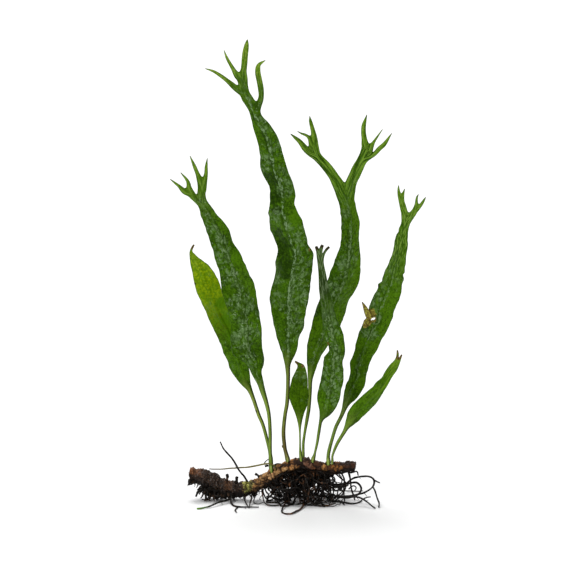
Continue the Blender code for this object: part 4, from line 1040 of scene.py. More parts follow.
def voronoi_at(points, scale=1.0):
    """Border depth, nearest distance and a number per cell, for scattered cells in space."""
    found = []
    for point in points:
        distances, places = noise.voronoi(Vector(point * scale))
        nearest = places[0]
        number = abs(math.sin(12.9898 * nearest.x + 78.233 * nearest.y + 37.719 * nearest.z))
        found.append((distances[1] - distances[0], distances[0], number))
    return np.array(found).T


def fractal_at(points, scale, octaves):
    return np.array([noise.fractal(Vector(point * scale), 1.0, 2.0, octaves) for point in points])


def close_end(ring, ids, inward, start, cut):
    """An end's points and faces: rings that shrink to the middle, hollow where the stem was cut."""
    middle = ring.mean(axis=0)
    rims, faces = [], []
    for level in range(1, END_RINGS + 1):
        share = 1.0 - level / (END_RINGS + 0.5)
        depth = 0.9 * (1.0 - share) ** 0.7 if cut else -0.55 * (1.0 - share**2)
        rim = middle + (ring - middle) * share + inward * depth
        rims.append(rim + inward[None] * (0.35 * fractal_at(rim, 1.3, 3))[:, None])
        here = start + np.arange(len(ring))
        quads = np.stack([ids, np.roll(ids, -1), np.roll(here, -1), here], axis=-1)
        faces += (quads[:, ::-1] if cut else quads).tolist()
        start += len(ring)
        ids = here
    faces.append((ids[::-1] if cut else ids).tolist())
    return np.concatenate(rims), faces


def make_rhizome(material):
    """The creeping stem: ragged and black when old, knobbly and tan in the middle, blunt where it grows."""
    route = smooth_route(RHIZOME_ROUTE, RHIZOME_STEP)
    centres, radii = route[:, :3], rhizome_radius_at(route)
    count, sides = len(centres), RHIZOME_SIDES
    along, turns, out = rings_round(centres, sides)
    place = (centres[:, None] + out * RHIZOME_LUMP_REACH) * RHIZOME_LUMP_RATE
    lump = np.array([noise.noise(Vector(point)) for point in place.reshape(-1, 3)]).reshape(count, sides)
    skin = centres[:, None] + out * (radii[:, None] * (1.0 + RHIZOME_LUMP * lump))[:, :, None]
    points = skin.reshape(-1, 3)
    outward = out.reshape(-1, 3)
    x, up = points[:, 0], outward[:, 2]
    old = 1.0 - step(*OLD_PART_ENDS, x + 1.5 * lump.ravel())
    run = np.arange(count) * RHIZOME_STEP
    knob_place = np.stack([
        np.broadcast_to(run[:, None] / KNOB_LENGTH, lump.shape) + 0.35 * lump,
        radii[:, None] * np.cos(turns)[None] / KNOB_WIDTH,
        radii[:, None] * np.sin(turns)[None] / KNOB_WIDTH,
    ], axis=-1).reshape(-1, 3)
    rough = fractal_at(points, 0.7, 4)
    knob_place += np.stack([0.2 * rough, 0.2 * fractal_at(points, 0.9, 3), -0.2 * rough], axis=-1)
    border, reach, number = voronoi_at(knob_place)
    fine_border = voronoi_at(points, 1.0 / FINE_KNOB)[0]
    plate = step(0.0, 0.30, border)
    dome = np.sqrt(np.clip(1.0 - (reach / 0.9) ** 2, 0.0, 1.0))
    knob = 1.2 * (dome - 0.75) + 0.3 * (plate - 0.7) + 0.5 * (number - 0.5)
    lift = mix(knob, 0.2 * (plate - 0.5), old)
    lift += mix(0.28, 0.45, old) * (step(0.0, 0.45, fine_border) - 0.5)
    lift += mix(0.2, mix(0.85, 0.5, step(0.0, 0.6, up)), old) * rough
    nodule = np.zeros(len(points))
    for centre, size, height in NODULES:
        off = np.linalg.norm(points - np.array(centre), axis=1)
        near = np.exp(-((off / size) ** 2) * (1.0 + 0.5 * rough))
        nodule = np.maximum(nodule, near)
        lift += height * near * (0.8 + 0.5 * rough)
    points = points + outward * lift[:, None]
    points[:, 0] += CUT_SLANT * step(0.3, -1.0, up) * (1.0 - step(-55.0, -50.5, x))
    ragged = 0.75 + 0.9 * fractal_at(points * np.array([1.0, 1.0, 0.25]), 0.8, 3)
    hang = np.interp(x, *zip(*UNDERSIDE))
    points[:, 2] -= hang * step(-0.15, -0.85, up) * np.clip(ragged, 0.1, 1.3)
    ids = np.arange(count * sides).reshape(count, sides)
    faces = tube_faces(ids)
    values = {
        "x": x,
        "plate": plate,
        "number": number,
        "fine": step(0.0, 0.4, fine_border),
        "dome": dome,
        "nodule": nodule,
        "up": up,
        "cut": np.zeros(len(points)),
    }
    parts = [points]
    rings = points.reshape(count, sides, 3)
    for end, inward, cut in ((0, along[0], True), (-1, -along[-1], False)):
        start = sum(len(part) for part in parts)
        rims, end_faces = close_end(rings[end], ids[end], inward, start, cut)
        parts.append(rims)
        faces += end_faces
        depths = np.repeat(0.3 + 0.1 * np.arange(1, END_RINGS + 1), sides)
        own = {"x": rims[:, 0], "plate": np.full(len(rims), 0.6), "cut": np.ones(len(rims))}
        values = {key: np.concatenate([numbers, own.get(key, depths)]) for key, numbers in values.items()}
    points = above_floor(np.concatenate(parts))
    make_piece("rhizome_skin", points, faces, values, material, "rhizome", ("rhizome",))


def crooked(rng, start, heading, length):
    """The route of a short, gnarled dead root that bends down and stops at the floor."""
    point, heading = np.array(start), unit(np.array(heading))
    route = [point]
    for index in range(max(3, int(length / CROOK_STEP))):
        heading = heading + rng.normal(0.0, 0.24, 3) + np.array([0.0, 0.0, -0.05])
        if point[2] < 1.2:
            heading[2] = max(heading[2], 0.0)
        heading = unit(heading)
        point = point + CROOK_STEP * heading
        point[2] = max(point[2], 0.3)
        route.append(point)
    knots = route[::2]
    if len(route) % 2 == 0:
        knots.append(route[-1])
    return smooth_route(knots, 0.4)


def add_broken_stubs(strands, rng):
    for number, (start, end, radius) in enumerate(ROOT_STUBS):
        start, end = np.array(start), np.array(end)
        upright = end[2] > start[2]
        for twin in range(1 if upright else 3):
            shift = rng.normal(0.0, 0.45, 3) * (1.0 if twin else 0.0)
            reach = rng.uniform(0.55, 0.95) if twin else 1.0
            tail = start + (end - start) * reach + shift
            knee = (start + tail) / 2.0 + rng.normal(0.0, 0.5, 3)
            centres = wiggle(smooth_route((start, knee, tail), 0.35), 0.4, 1.6, 300 + 5 * number + twin)
            thickness = (radius * (0.42 if twin else 0.65), 1.0 if upright else 0.5, 1.2)
            strands.add(centres, thickness, 8, rng.random(), 0.4, number)


def add_old_clumps(strands, rng):
    for place, heading, spread, count, lengths, radii in OLD_CLUMPS:
        for index in range(count):
            start = np.array(place) + rng.normal(0.0, 1.0, 3) * np.array([spread, 0.9, 0.5])
            turn = np.array(heading) + rng.normal(0.0, 0.5, 3)
            centres = crooked(rng, start, turn, rng.uniform(*lengths))
            thick = rng.uniform(*radii)
            strands.add(centres, (thick, 0.4, 1.6), 7, rng.random(), 0.45, index)
            if rng.random() < 0.5:
                knot = centres[rng.integers(2, len(centres) - 1)]
                twig = crooked(rng, knot, rng.normal(0.0, 1.0, 3), rng.uniform(1.5, 3.5))
                strands.add(twig, (0.5 * thick, 0.4, 1.5), 6, rng.random(), 0.4, index)


def add_fuzz(strands, rng):
    route = smooth_route(RHIZOME_ROUTE, 1.0)
    for number in range(OLD_FUZZ):
        place = route[rng.integers(1, 33)]
        turn = rng.uniform(-0.1, 1.1) * math.pi
        out = unit(np.array([rng.normal(0.0, 0.4), -math.cos(turn), -math.sin(turn)]))
        start = place[:3] + out * place[3] * 0.7
        long = rng.uniform(0.4, 2.0) if out[2] < -0.2 else rng.uniform(0.1, 0.6)
        tail = start + out * (place[3] * 0.3 + long) + np.array([0.0, 0.0, -0.4 * long])
        knee = (start + tail) / 2.0 + rng.normal(0.0, 0.3, 3)
        centres = smooth_route((start, knee, tail), 0.35)
        strands.add(centres, (rng.uniform(0.18, 0.5), 0.4, 1.0), 6, rng.random(), 0.4, number)


def make_stubs(material):
    """Dead roots under and on the old part: broken stubs, hanging clumps and short fuzz."""
    rng = np.random.default_rng(41)
    strands = Strands()
    add_broken_stubs(strands, rng)
    add_old_clumps(strands, rng)
    add_fuzz(strands, rng)
    strands.finish("rhizome_stubs", material, "root", ())


def mound_reach(point):
    """How far out a point is in the root mass: under 1 inside it."""
    level = min(max(point[2] / MAT_HEIGHT, 0.0), 0.999)
    reach = (1.0 - level ** MAT_DOME_POWERS[0]) ** MAT_DOME_POWERS[1]
    x = (point[0] - MAT_CENTRE[0]) / MAT_HALF_SIZE[0]
    y = (point[1] - MAT_CENTRE[1]) / MAT_HALF_SIZE[1]
    return math.hypot(x, y) / max(reach, 0.05)


def wander(rng, start, heading, length, radius, stiff):
    """A root's route: it wanders, sinks, and turns back where it would leave the mass or the floor."""
    point, heading = np.array(start), unit(heading)
    centre = np.array([*MAT_CENTRE, 4.0])
    curl = rng.normal(0.0, 0.16, 3)
    route = [point]
    for index in range(int(length / STRAND_STEP)):
        curl = 0.9 * curl + rng.normal(0.0, 0.085 / stiff, 3)
        if rng.random() < SHARP_TURN_SHARE:
            heading = heading + rng.normal(0.0, 0.45, 3)
        heading = heading + curl + np.array([0.0, 0.0, -0.035])
        beyond = mound_reach(point) - MASS_EDGE
        if beyond > 0.0:
            inward = centre - point
            inward[2] *= 0.25
            heading += unit(inward) * (0.12 + 1.2 * beyond)
        if point[2] < MASS_LOW:
            heading[2] += 0.30 * (MASS_LOW - point[2])
        heading = unit(heading)
        point = point + heading * STRAND_STEP
        point[2] = max(point[2], radius)
        route.append(point)
    return np.array(route)


def add_long_roots(strands, rng, stem):
    for number in range(MASS_STRANDS):
        place = stem[rng.integers(0, len(stem))]
        side = rng.choice([-1.0, 1.0])
        out = np.array([0.0, side * rng.uniform(0.1, 0.8), -rng.uniform(0.4, 0.9)])
        start = place[:3] + place[3] * out
        heading = np.array([rng.normal(0.0, 0.7), side * rng.uniform(0.0, 1.0), -rng.uniform(0.3, 1.2)])
        radius = rng.choice([0.28, 0.36, 0.44, 0.52], p=[0.2, 0.3, 0.3, 0.2])
        route = wander(rng, start, heading, rng.uniform(24.0, 58.0), radius, 1.0)
        shade = rng.random()
        strands.add(route, (radius, 0.45), 5, shade, 0.32, number)
        for branch in range(rng.integers(0, 3)):
            knot = route[rng.integers(6, len(route) - 4)]
            twig = wander(rng, knot, rng.normal(0.0, 1.0, 3), rng.uniform(4.0, 12.0), radius * 0.6, 0.8)
            strands.add(twig, (radius * 0.6, 0.4), 4, shade, 0.15, number)


def add_tufts(strands, rng, stem):
    """Short crooked roots that close the tangle under the stem, every third one in front."""
    front = stem[stem[:, 0] > -3.0]
    for number in range(MASS_TUFTS):
        ahead = number % 3 == 0
        place = front[rng.integers(0, len(front))] if ahead else stem[rng.integers(0, len(stem))]
        out = unit(np.array([0.0, -1.0 if ahead else rng.normal(0.0, 0.8), -rng.uniform(0.1, 1.0)]))
        start = place[:3] + place[3] * 0.8 * out
        heading = out * 0.6 + np.array([rng.normal(0.0, 0.9), 0.0, -0.5])
        radius = rng.uniform(0.22, 0.42)
        route = wander(rng, start, heading, rng.uniform(5.0, 14.0), radius, 0.45)
        strands.add(route, (radius, 0.4), 5, rng.random() ** 2, 0.25, number)


def make_root_mass(material):
    """The dark tangle under the rhizome, drawn root by root inside its frame solid."""
    rng = np.random.default_rng(17)
    strands = Strands()
    stem = smooth_route(RHIZOME_ROUTE, 0.5)
    stem = stem[(stem[:, 0] > -17.5) & (stem[:, 0] < 26.0)]
    add_long_roots(strands, rng, stem)
    add_tufts(strands, rng, stem)
    for number, (points, radius, shade) in enumerate(PLACED_STRANDS):
        centres = wiggle(smooth_route(points, 0.5), 0.2, 2.6, 900 + number)
        strands.add(centres, (radius, 0.7), 8, shade, 0.12, 500 + number)
    strands.finish("root_mass", material, "root", ("root_mat",))


# Materials


def srgb(red, green, blue):
    """A linear colour from the eight-bit values of a screen colour."""
    def linear(value):
        value /= 255.0
        return value / 12.92 if value <= 0.04045 else ((value + 0.055) / 1.055) ** 2.4
    return (linear(red), linear(green), linear(blue), 1.0)


class Shader:
    """A material under construction, with short calls for its nodes and a colour that is painted on."""

    def __init__(self, name):
        self.material = bpy.data.materials.new(name)
        self.material.use_nodes = True
        self.tree = self.material.node_tree
        self.surface = self.tree.nodes["Principled BSDF"]
        self.place = self.tree.nodes.new("ShaderNodeTexCoord").outputs["Object"]
        self.colour = None

    def feed(self, node, inputs):
        """The node, with a value or a link in each of the given inputs."""
        for label, value in inputs.items():
            if isinstance(value, bpy.types.NodeSocket):
                self.tree.links.new(value, node.inputs[label])
            else:
                node.inputs[label].default_value = value
        return node

    def node(self, kind, inputs):
        return self.feed(self.tree.nodes.new(kind), inputs)

    def values(self, *labels):
        """The numbers that the mesh carries under the given names."""
        nodes = [self.tree.nodes.new("ShaderNodeAttribute") for label in labels]
        for node, label in zip(nodes, labels):
            node.attribute_name = label
        return [node.outputs["Fac"] for node in nodes]

    def value(self, label):
        return self.values(label)[0]

    def math(self, operation, first, second=0.0):
        node = self.node("ShaderNodeMath", {0: first, 1: second})
        node.operation = operation
        return node.outputs[0]

    def times(self, first, *factors):
        for factor in factors:
            first = self.math("MULTIPLY", first, factor)
        return first

    def without(self, value):
        return self.math("SUBTRACT", 1.0, value)

    def span(self, value, low, high, start=0.0, end=1.0):
        """The value's place between low and high, smoothly, as a number from start to end."""
        node = self.node("ShaderNodeMapRange", dict(enumerate((value, low, high, start, end))))
        node.interpolation_type = "SMOOTHSTEP"
        return node.outputs[0]

    def mixed(self, share, first, second):
        node = self.tree.nodes.new("ShaderNodeMix")
        node.data_type = "RGBA"
        return self.feed(node, {0: share, 6: first, 7: second}).outputs[2]

    def paint(self, tone, *shares):
        """Lay a tone over the colour so far, as much as the product of the shares says."""
        self.colour = self.mixed(self.times(*shares), self.colour, tone)

    def noise(self, size, detail=2.0, rough=0.5, shift=0.0, stretch=(1.0, 1.0, 1.0)):
        """Noise with features of about the given size in millimetres."""
        place = {"Vector": self.place, "Scale": stretch, "Location": (shift, shift, shift)}
        look = {
            "Vector": self.node("ShaderNodeMapping", place).outputs["Vector"],
            "Scale": 1.0 / (size * MM),
            "Detail": detail,
            "Roughness": rough,
        }
        return self.node("ShaderNodeTexNoise", look).outputs["Fac"]

    def lanes(self, width, length, shift):
        """Noise drawn out along the leaf, from the widths and lengths of its streaks in millimetres."""
        rib, along = self.values("rib", "along")
        place = {0: self.times(rib, 1.0 / width), 1: self.times(along, 1.0 / length), 2: shift}
        vector = self.node("ShaderNodeCombineXYZ", place).outputs["Vector"]
        return self.node("ShaderNodeTexNoise", {"Vector": vector, "Scale": 1.0, "Detail": 2.0}).outputs["Fac"]

    def net(self, size):
        """Distance to the borders of a net of cells of the given size in millimetres."""
        node = self.tree.nodes.new("ShaderNodeTexVoronoi")
        node.feature = "DISTANCE_TO_EDGE"
        return self.feed(node, {"Vector": self.place, "Scale": 1.0 / (size * MM)}).outputs["Distance"]

    def bumps(self, *layers):
        """A normal from (height, depth in millimetres, strength) layers, each laid over the one before."""
        normal = None
        for height, depth, strength in layers:
            inputs = {"Height": height, "Distance": depth * MM, "Strength": strength}
            if normal:
                inputs["Normal"] = normal
            normal = self.node("ShaderNodeBump", inputs).outputs["Normal"]
        return normal

    def finish(self, roughness, normal, specular):
        self.feed(self.surface, {
            "Base Color": self.colour,
            "Roughness": roughness,
            "Normal": normal,
            "Specular IOR Level": specular,
        })
        return self.material


def paint_blade(s, leaf, patch, mottle, shade, painted_light):
    """The leaf's greens: broad patches, painted light and painted shade, mottling, and a part that has paled.
    """
    shift = leaf["shift"]
    broad = s.noise(12.0, 2.0, 0.5, shift)
    fine = s.noise(0.75, 3.0, 0.65, shift + 25.0)
    across, height = s.values("across", "height")
    s.colour = s.mixed(s.span(broad, 0.38, 0.62), leaf["dark"], leaf["mid"])
    s.paint(leaf["light"], s.span(patch, 0.45, 0.62), 0.55)
    # Painted light on the lit half and the lit marks, then painted shade on the shaded marks
    side = s.math("MAXIMUM", s.span(across, *leaf["lit_side"]), painted_light)
    s.paint(leaf["lit"], side, s.span(patch, 0.3, 0.6, 0.5, 0.85))
    s.paint(leaf["shadow"], shade, 0.9)
    s.paint(leaf["light"], s.span(mottle, 0.46, 0.64), 0.5)
    s.paint(leaf["deep"], s.span(mottle, 0.32, 0.47, 1.0, 0.0), 0.55)
    busy = s.without(s.times(s.math("MAXIMUM", shade, painted_light), 0.75))
    s.paint(leaf["deep"], s.span(fine, 0.36, 0.47, 0.65, 0.0), busy)
    s.paint(leaf["light"], s.span(fine, 0.54, 0.64, 0.0, 0.55), busy)
    # More painted shade on the shaded marks
    s.paint(leaf["shadow"], shade, 0.45)
    low, high, amount = leaf["fade"]
    tinted = s.mixed(s.span(mottle, 0.40, 0.60), leaf["pale"], leaf["pale_deep"])
    tinted = s.mixed(s.span(patch, 0.46, 0.60, 0.0, 0.6), tinted, leaf["pale_deep"])
    # Painted shade reaches into the paled part too
    tinted = s.mixed(s.times(shade, 0.85), tinted, leaf["shadow"])
    s.paint(tinted, s.span(height, low, high, 0.0, amount), s.span(patch, 0.25, 0.60, 0.7, 1.0))


def paint_grooves_and_sheen(s, leaf, mottle, blade):
    """Painted shade in the grooves between the blisters, and painted grey-green sheen and glints on them."""
    shift = leaf["shift"]
    dome, cell, painted_sheen = s.values("dome", "cell", "painted_sheen")
    # Painted shade in the grooves between blisters, stronger where sheen is painted
    groove_shade = s.times(s.without(dome), s.span(painted_sheen, 0.0, 0.7, 0.25, 1.0))
    s.paint(leaf["deep"], groove_shade, blade, leaf["groove_shade"])
    # Painted sheen: grey-green patches of reflected light on the blisters
    sheen_patches = s.span(s.noise(2.6, 4.0, 0.62, shift + 21.0), 0.44, 0.56)
    sheen_share = s.times(s.span(painted_sheen, 0.25, 0.75), s.span(dome, 0.0, 0.7, 0.35, 1.0), sheen_patches)
    sheen_share = s.times(sheen_share, s.span(cell, 0.1, 0.5, 0.4, 1.0), s.span(mottle, 0.32, 0.56, 0.4, 1.0))
    s.paint(leaf["sheen_colour"], sheen_share, leaf["sheen_share"])
    # Painted glints along the blisters' borders
    glint_spots = s.span(s.noise(1.9, 3.0, 0.6, shift + 11.0), 0.54, 0.64)
    glint_share = s.times(s.span(s.net(2.3), 0.02, 0.10, 1.0, 0.0), glint_spots)
    s.paint(leaf["glint"], glint_share, s.span(painted_sheen, 0.2, 0.6), blade, leaf["glint_share"])


def paint_ribs(s, leaf, lane, blade):
    """The wavering midrib: a painted highlight on it, painted shade beside it; and the streaks up to the
    prongs.
    """
    shift = leaf["shift"]
    waver = s.span(s.noise(2.2, 3.0, 0.6, shift + 15.0), 0.3, 0.7, -0.55, 0.55)
    rib = s.math("ADD", s.value("rib"), waver)
    # Painted shade in the furrow beside the midrib
    groove_side = leaf["groove_side"]
    beside = s.span(s.math("ABSOLUTE", s.math("ADD", rib, groove_side)), 0.0, groove_side, 1.0, 0.0)
    fading = s.span(s.noise(7.0, 2.0, 0.6, shift + 16.0), 0.35, 0.6, 0.25, 1.0)
    s.paint(leaf["deep"], s.times(beside, fading), s.times(blade, leaf["rib_groove_shade"]))
    # Painted highlight along the midrib, broken into bits
    broken = s.span(s.noise(1.5, 3.0, 0.65, shift + 17.0), 0.42, 0.58)
    broken = s.times(broken, s.span(lane, 0.0, 1.0, 1.0, 0.3))
    ridge = s.times(s.span(s.math("ABSOLUTE", rib), 0.12, 0.55, 1.0, 0.0), broken)
    s.paint(leaf["rib"], ridge, blade, leaf["rib_highlight"])
    lane = s.times(lane, leaf["lane_share"], blade)
    streak = s.lanes(*leaf["streak"], shift)
    s.paint(leaf["lane_base"], lane, 0.7)
    s.paint(leaf["lane"], lane, s.span(streak, 0.51, 0.60))
    s.paint(leaf["deep"], lane, s.span(streak, 0.40, 0.49, 0.85, 0.0))
    return streak


def paint_prongs_and_stalk(s, leaf, mottle, streak, stalk, blade):
    prong, edge, across, along, height, tip = s.values("prong", "edge", "across", "along", "height", "tip")
    tender = s.mixed(s.span(mottle, 0.35, 0.65), leaf["prong"], leaf["light"])
    tender = s.mixed(s.span(streak, 0.40, 0.54, 0.6, 0.0), tender, leaf["mid"])
    s.paint(tender, prong, leaf["prong_share"])
    margin = s.span(prong, 0.3, 1.0, 1.0, leaf["prong_margin"])
    s.paint(leaf["dark"], s.span(edge, 0.04, 0.36, 0.7, 0.0), margin, blade)
    stem = s.mixed(s.span(height, 26.0, 44.0, 1.0, 0.0), leaf["stalk"], leaf["stalk_low"])
    collar = s.times(s.span(along, 2.5, 7.0, 0.8, 0.0), s.span(mottle, 0.35, 0.6))
    stem = s.mixed(collar, stem, srgb(168, 184, 98))
    # Painted shade across the stalk: a darker left edge and a dark right side
    stem = s.mixed(s.span(across, -0.95, -0.45, 0.7, 0.0), stem, leaf["mid"])
    stem = s.mixed(s.span(across, -0.05, 0.65), stem, leaf["stalk_shade"])
    fibre = s.noise(1.6, 3.0, 0.6, leaf["shift"], (1.0, 1.0, 0.3))
    stem = s.mixed(s.span(fibre, 0.5, 0.7, 0.0, 0.35), stem, leaf["deep"])
    s.paint(stem, stalk)
    s.paint(srgb(66, 62, 22), tip, 0.6)


def paint_damage(s, leaf, mottle, brown, dark):
    """Brown and black tissue, with cracks and a darker rim."""
    dead = s.mixed(s.span(mottle, 0.40, 0.64), *leaf["dead"])
    dead = s.mixed(s.span(s.net(2.1), 0.0, 0.12, 0.8, 0.0), dead, srgb(64, 40, 18))
    s.paint(dead, s.span(brown, 0.1, 0.75))
    s.paint(srgb(72, 46, 22), s.span(brown, 0.1, 0.4), s.span(s.value("edge"), 0.05, 0.4, 0.9, 0.0))
    s.paint(s.mixed(mottle, srgb(22, 22, 12), srgb(66, 58, 32)), s.span(dark, 0.1, 0.7))


def leaf_material(name, leaf):
    """Wet green tissue, saturated where smooth, with painted grey-green sheen on blisters and painted light
    and shade.
    """
    s = Shader(name)
    shift, gloss = leaf["shift"], leaf["gloss"]
    stalk, shade, painted_light, lane, brown, dark = s.values("stalk", "shade", "painted_light", "lane", "brown", "dark")
    blade = s.without(stalk)
    patch = s.noise(3.6, 3.0, 0.6, shift + 3.0)
    mottle = s.noise(1.2, 4.0, 0.65, shift + 7.0)
    grain = s.noise(0.28, 2.0, 0.6, shift)
    veins = s.span(s.net(1.3), 0.0, 0.13)
    paint_blade(s, leaf, patch, mottle, shade, painted_light)
    paint_grooves_and_sheen(s, leaf, mottle, blade)
    streak = paint_ribs(s, leaf, lane, blade)
    paint_prongs_and_stalk(s, leaf, mottle, streak, stalk, blade)
    paint_damage(s, leaf, mottle, brown, dark)
    roughness = s.span(s.noise(2.2, 3.0, 0.6, shift + 5.0), 0.3, 0.7, gloss - 0.07, gloss + 0.1)
    roughness = s.math("MAXIMUM", roughness, s.times(s.math("MAXIMUM", brown, dark), 0.6))
    normal = s.bumps((veins, 0.06, 0.7), (mottle, 0.22, 0.8), (grain, 0.03, 0.5))
    s.surface.inputs["Specular Tint"].default_value = (0.9, 1.0, 0.4, 1.0)
    return s.finish(roughness, normal, leaf["specular"])


def rhizome_material():
    """Bark: black and flecked when old, lime where it starts to live, tan knobs with painted highlights, then
    dark and brown.
    """
    s = Shader("rhizome_bark")
    x, plate, number, up, dome, nodule, fine, cut = s.values(
        "x", "plate", "number", "up", "dome", "nodule", "fine", "cut"
    )
    mottle = s.noise(0.8, 4.0, 0.65)
    patch = s.noise(3.2, 3.0, 0.6, 2.0)
    fibre = s.noise(0.5, 3.0, 0.6, 5.0, (1.0, 0.4, 0.25))
    grain = s.noise(0.22, 3.0, 0.7)
    jagged = s.math("ADD", x, s.span(patch, 0.3, 0.7, -1.2, 1.2))
    top = None
    for low, high, tone, highlight_tone in RHIZOME_TONES:
        share = s.span(jagged, low, high)
        s.colour = s.mixed(share, s.colour, srgb(*tone)) if s.colour else srgb(*tone)
        top = s.mixed(share, top, srgb(*highlight_tone)) if top else srgb(*highlight_tone)
    # Painted highlight on the knobs' tops
    lit = s.times(s.span(dome, 0.6, 0.92), s.span(number, 0.1, 0.7, 0.35, 1.0))
    s.paint(top, lit, s.span(mottle, 0.36, 0.56, 1.0, 0.25))
    s.paint(srgb(88, 50, 24), s.span(mottle, 0.52, 0.66, 0.0, 0.6))
    s.paint(srgb(62, 35, 17), s.span(fibre, 0.54, 0.66, 0.0, 0.55))
    s.paint(srgb(44, 26, 14), s.span(dome, 0.4, 0.82, 0.95, 0.0), s.span(x, -28.0, -26.0))
    lime = s.mixed(s.span(mottle, 0.40, 0.58), srgb(208, 206, 112), srgb(122, 120, 44))
    s.paint(lime, s.span(jagged, -28.2, -27.2), s.span(jagged, -24.2, -22.8, 1.0, 0.0))
    old = s.mixed(s.span(mottle, 0.44, 0.62), srgb(14, 10, 7), srgb(66, 47, 33))
    old = s.mixed(s.span(fibre, 0.54, 0.66, 0.0, 0.5), old, srgb(104, 74, 52))
    old = s.mixed(s.span(s.noise(0.9, 3.0, 0.7, 12.0), 0.55, 0.65, 0.0, 0.7), old, srgb(130, 124, 120))
    s.paint(old, s.span(jagged, -28.2, -27.2, 1.0, 0.0))
    weathered = s.mixed(s.span(fibre, 0.4, 0.6), srgb(164, 104, 60), srgb(92, 54, 30))
    s.paint(weathered, s.span(jagged, -53.5, -46.5, 1.0, 0.0), s.span(up, 0.1, 0.75))
    knot = s.times(s.span(x, -38.0, -36.6), s.span(x, -33.8, -32.6, 1.0, 0.0), s.span(up, -0.3, 0.1))
    knot_tone = s.mixed(s.span(mottle, 0.4, 0.6), srgb(138, 92, 56), srgb(60, 40, 26))
    s.paint(knot_tone, knot, s.span(patch, 0.35, 0.5), 0.6)
    s.paint(srgb(30, 17, 9), s.without(plate), s.span(x, -28.0, -26.0, 0.2, 0.95))
    s.paint(srgb(36, 22, 12), s.without(fine), 0.45)
    s.paint(s.mixed(mottle, srgb(12, 9, 7), srgb(70, 46, 36)), nodule, 0.9)
    # Near black on the underside
    s.paint(srgb(16, 11, 8), s.span(up, -0.5, 0.0, 0.9, 0.0))
    s.paint(s.mixed(mottle, srgb(112, 66, 34), srgb(40, 24, 14)), cut, s.span(x, -50.0, -40.0, 1.0, 0.0))
    normal = s.bumps((mottle, 0.25, 0.9), (fibre, 0.12, 0.8), (grain, 0.06, 0.8))
    return s.finish(s.span(mottle, 0.3, 0.7, 0.34, 0.6), normal, 0.16)


def root_material(name, black, brown, brown_share, gloss):
    s = Shader(name)
    mottle = s.noise(0.7, 4.0, 0.65)
    streak = s.noise(2.6, 3.0, 0.6, 4.0)
    grain = s.noise(0.16, 3.0, 0.7)
    s.colour = s.mixed(s.span(mottle, 0.42, 0.68, 0.0, 0.5), black, srgb(44, 34, 24))
    s.paint(brown, s.span(streak, 0.48, 0.66), s.span(s.value("shade"), 1.0 - brown_share, 1.0))
    normal = s.bumps((mottle, 0.1, 0.9), (grain, 0.03, 0.8))
    return s.finish(s.span(mottle, 0.3, 0.7, gloss - 0.06, gloss + 0.14), normal, 0.14)


def graded_root_material(name, stops, gloss):
    """A root whose colour changes along its length, from (share, colour) stops."""
    s = Shader(name)
    mottle = s.noise(0.8, 4.0, 0.6)
    tip = s.value("tip")
    s.colour = stops[0][1]
    for (low, before), (high, after) in zip(stops, stops[1:]):
        s.paint(after, s.span(tip, low, high))
    s.paint(srgb(40, 30, 16), s.span(mottle, 0.45, 0.7, 0.0, 0.5))
    return s.finish(s.span(mottle, 0.3, 0.7, gloss, gloss + 0.15), s.bumps((mottle, 0.1, 0.8)), 0.25)


def floor_material():
    s = Shader("floor_white")
    s.colour = s.mixed(s.noise(400.0), (0.93, 0.93, 0.935, 1.0), (0.95, 0.95, 0.95, 1.0))
    return s.finish(0.7, s.bumps((s.noise(3.0, 3.0), 0.01, 0.2)), 0.2)


# Light, floor and camera


def add_camera():
    data = bpy.data.cameras.new("view")
    data.lens = LENS
    data.sensor_width = SENSOR
    camera = add_object("view", data)
    distance = FIELD_WIDTH * MM * LENS / SENSOR
    back = Vector((0.0, -math.cos(SIGHT_TILT), math.sin(SIGHT_TILT)))
    camera.location = Vector(VIEW_TARGET) * MM + back * distance
    camera.rotation_euler = back.to_track_quat("Z", "Y").to_euler()
    bpy.context.scene.camera = camera


def add_sun(name, direction, strength, spread):
    """A soft light from the given direction, as wide as spread in degrees."""
    data = bpy.data.lights.new(name, "SUN")
    data.energy = strength
    data.angle = math.radians(spread)
    light = add_object(name, data)
    light.rotation_euler = Vector(direction).to_track_quat("Z", "Y").to_euler()


def add_world(strength):
    world = bpy.data.worlds.new("studio")
    world.use_nodes = True
    background = world.node_tree.nodes["Background"].inputs
    background["Color"].default_value = (1.0, 1.0, 1.0, 1.0)
    background["Strength"].default_value = strength
    bpy.context.scene.world = world


def add_floor():
    mesh = bpy.data.meshes.new("floor")
    half = FLOOR_SIZE / 2.0
    corners = [(-half, -half, 0.0), (half, -half, 0.0), (half, half, 0.0), (-half, half, 0.0)]
    mesh.from_pydata(corners, [], [(0, 1, 2, 3)])
    mesh.materials.append(floor_material())
    floor = add_object("floor", mesh)


# Leaf looks: common values, then each leaf's own

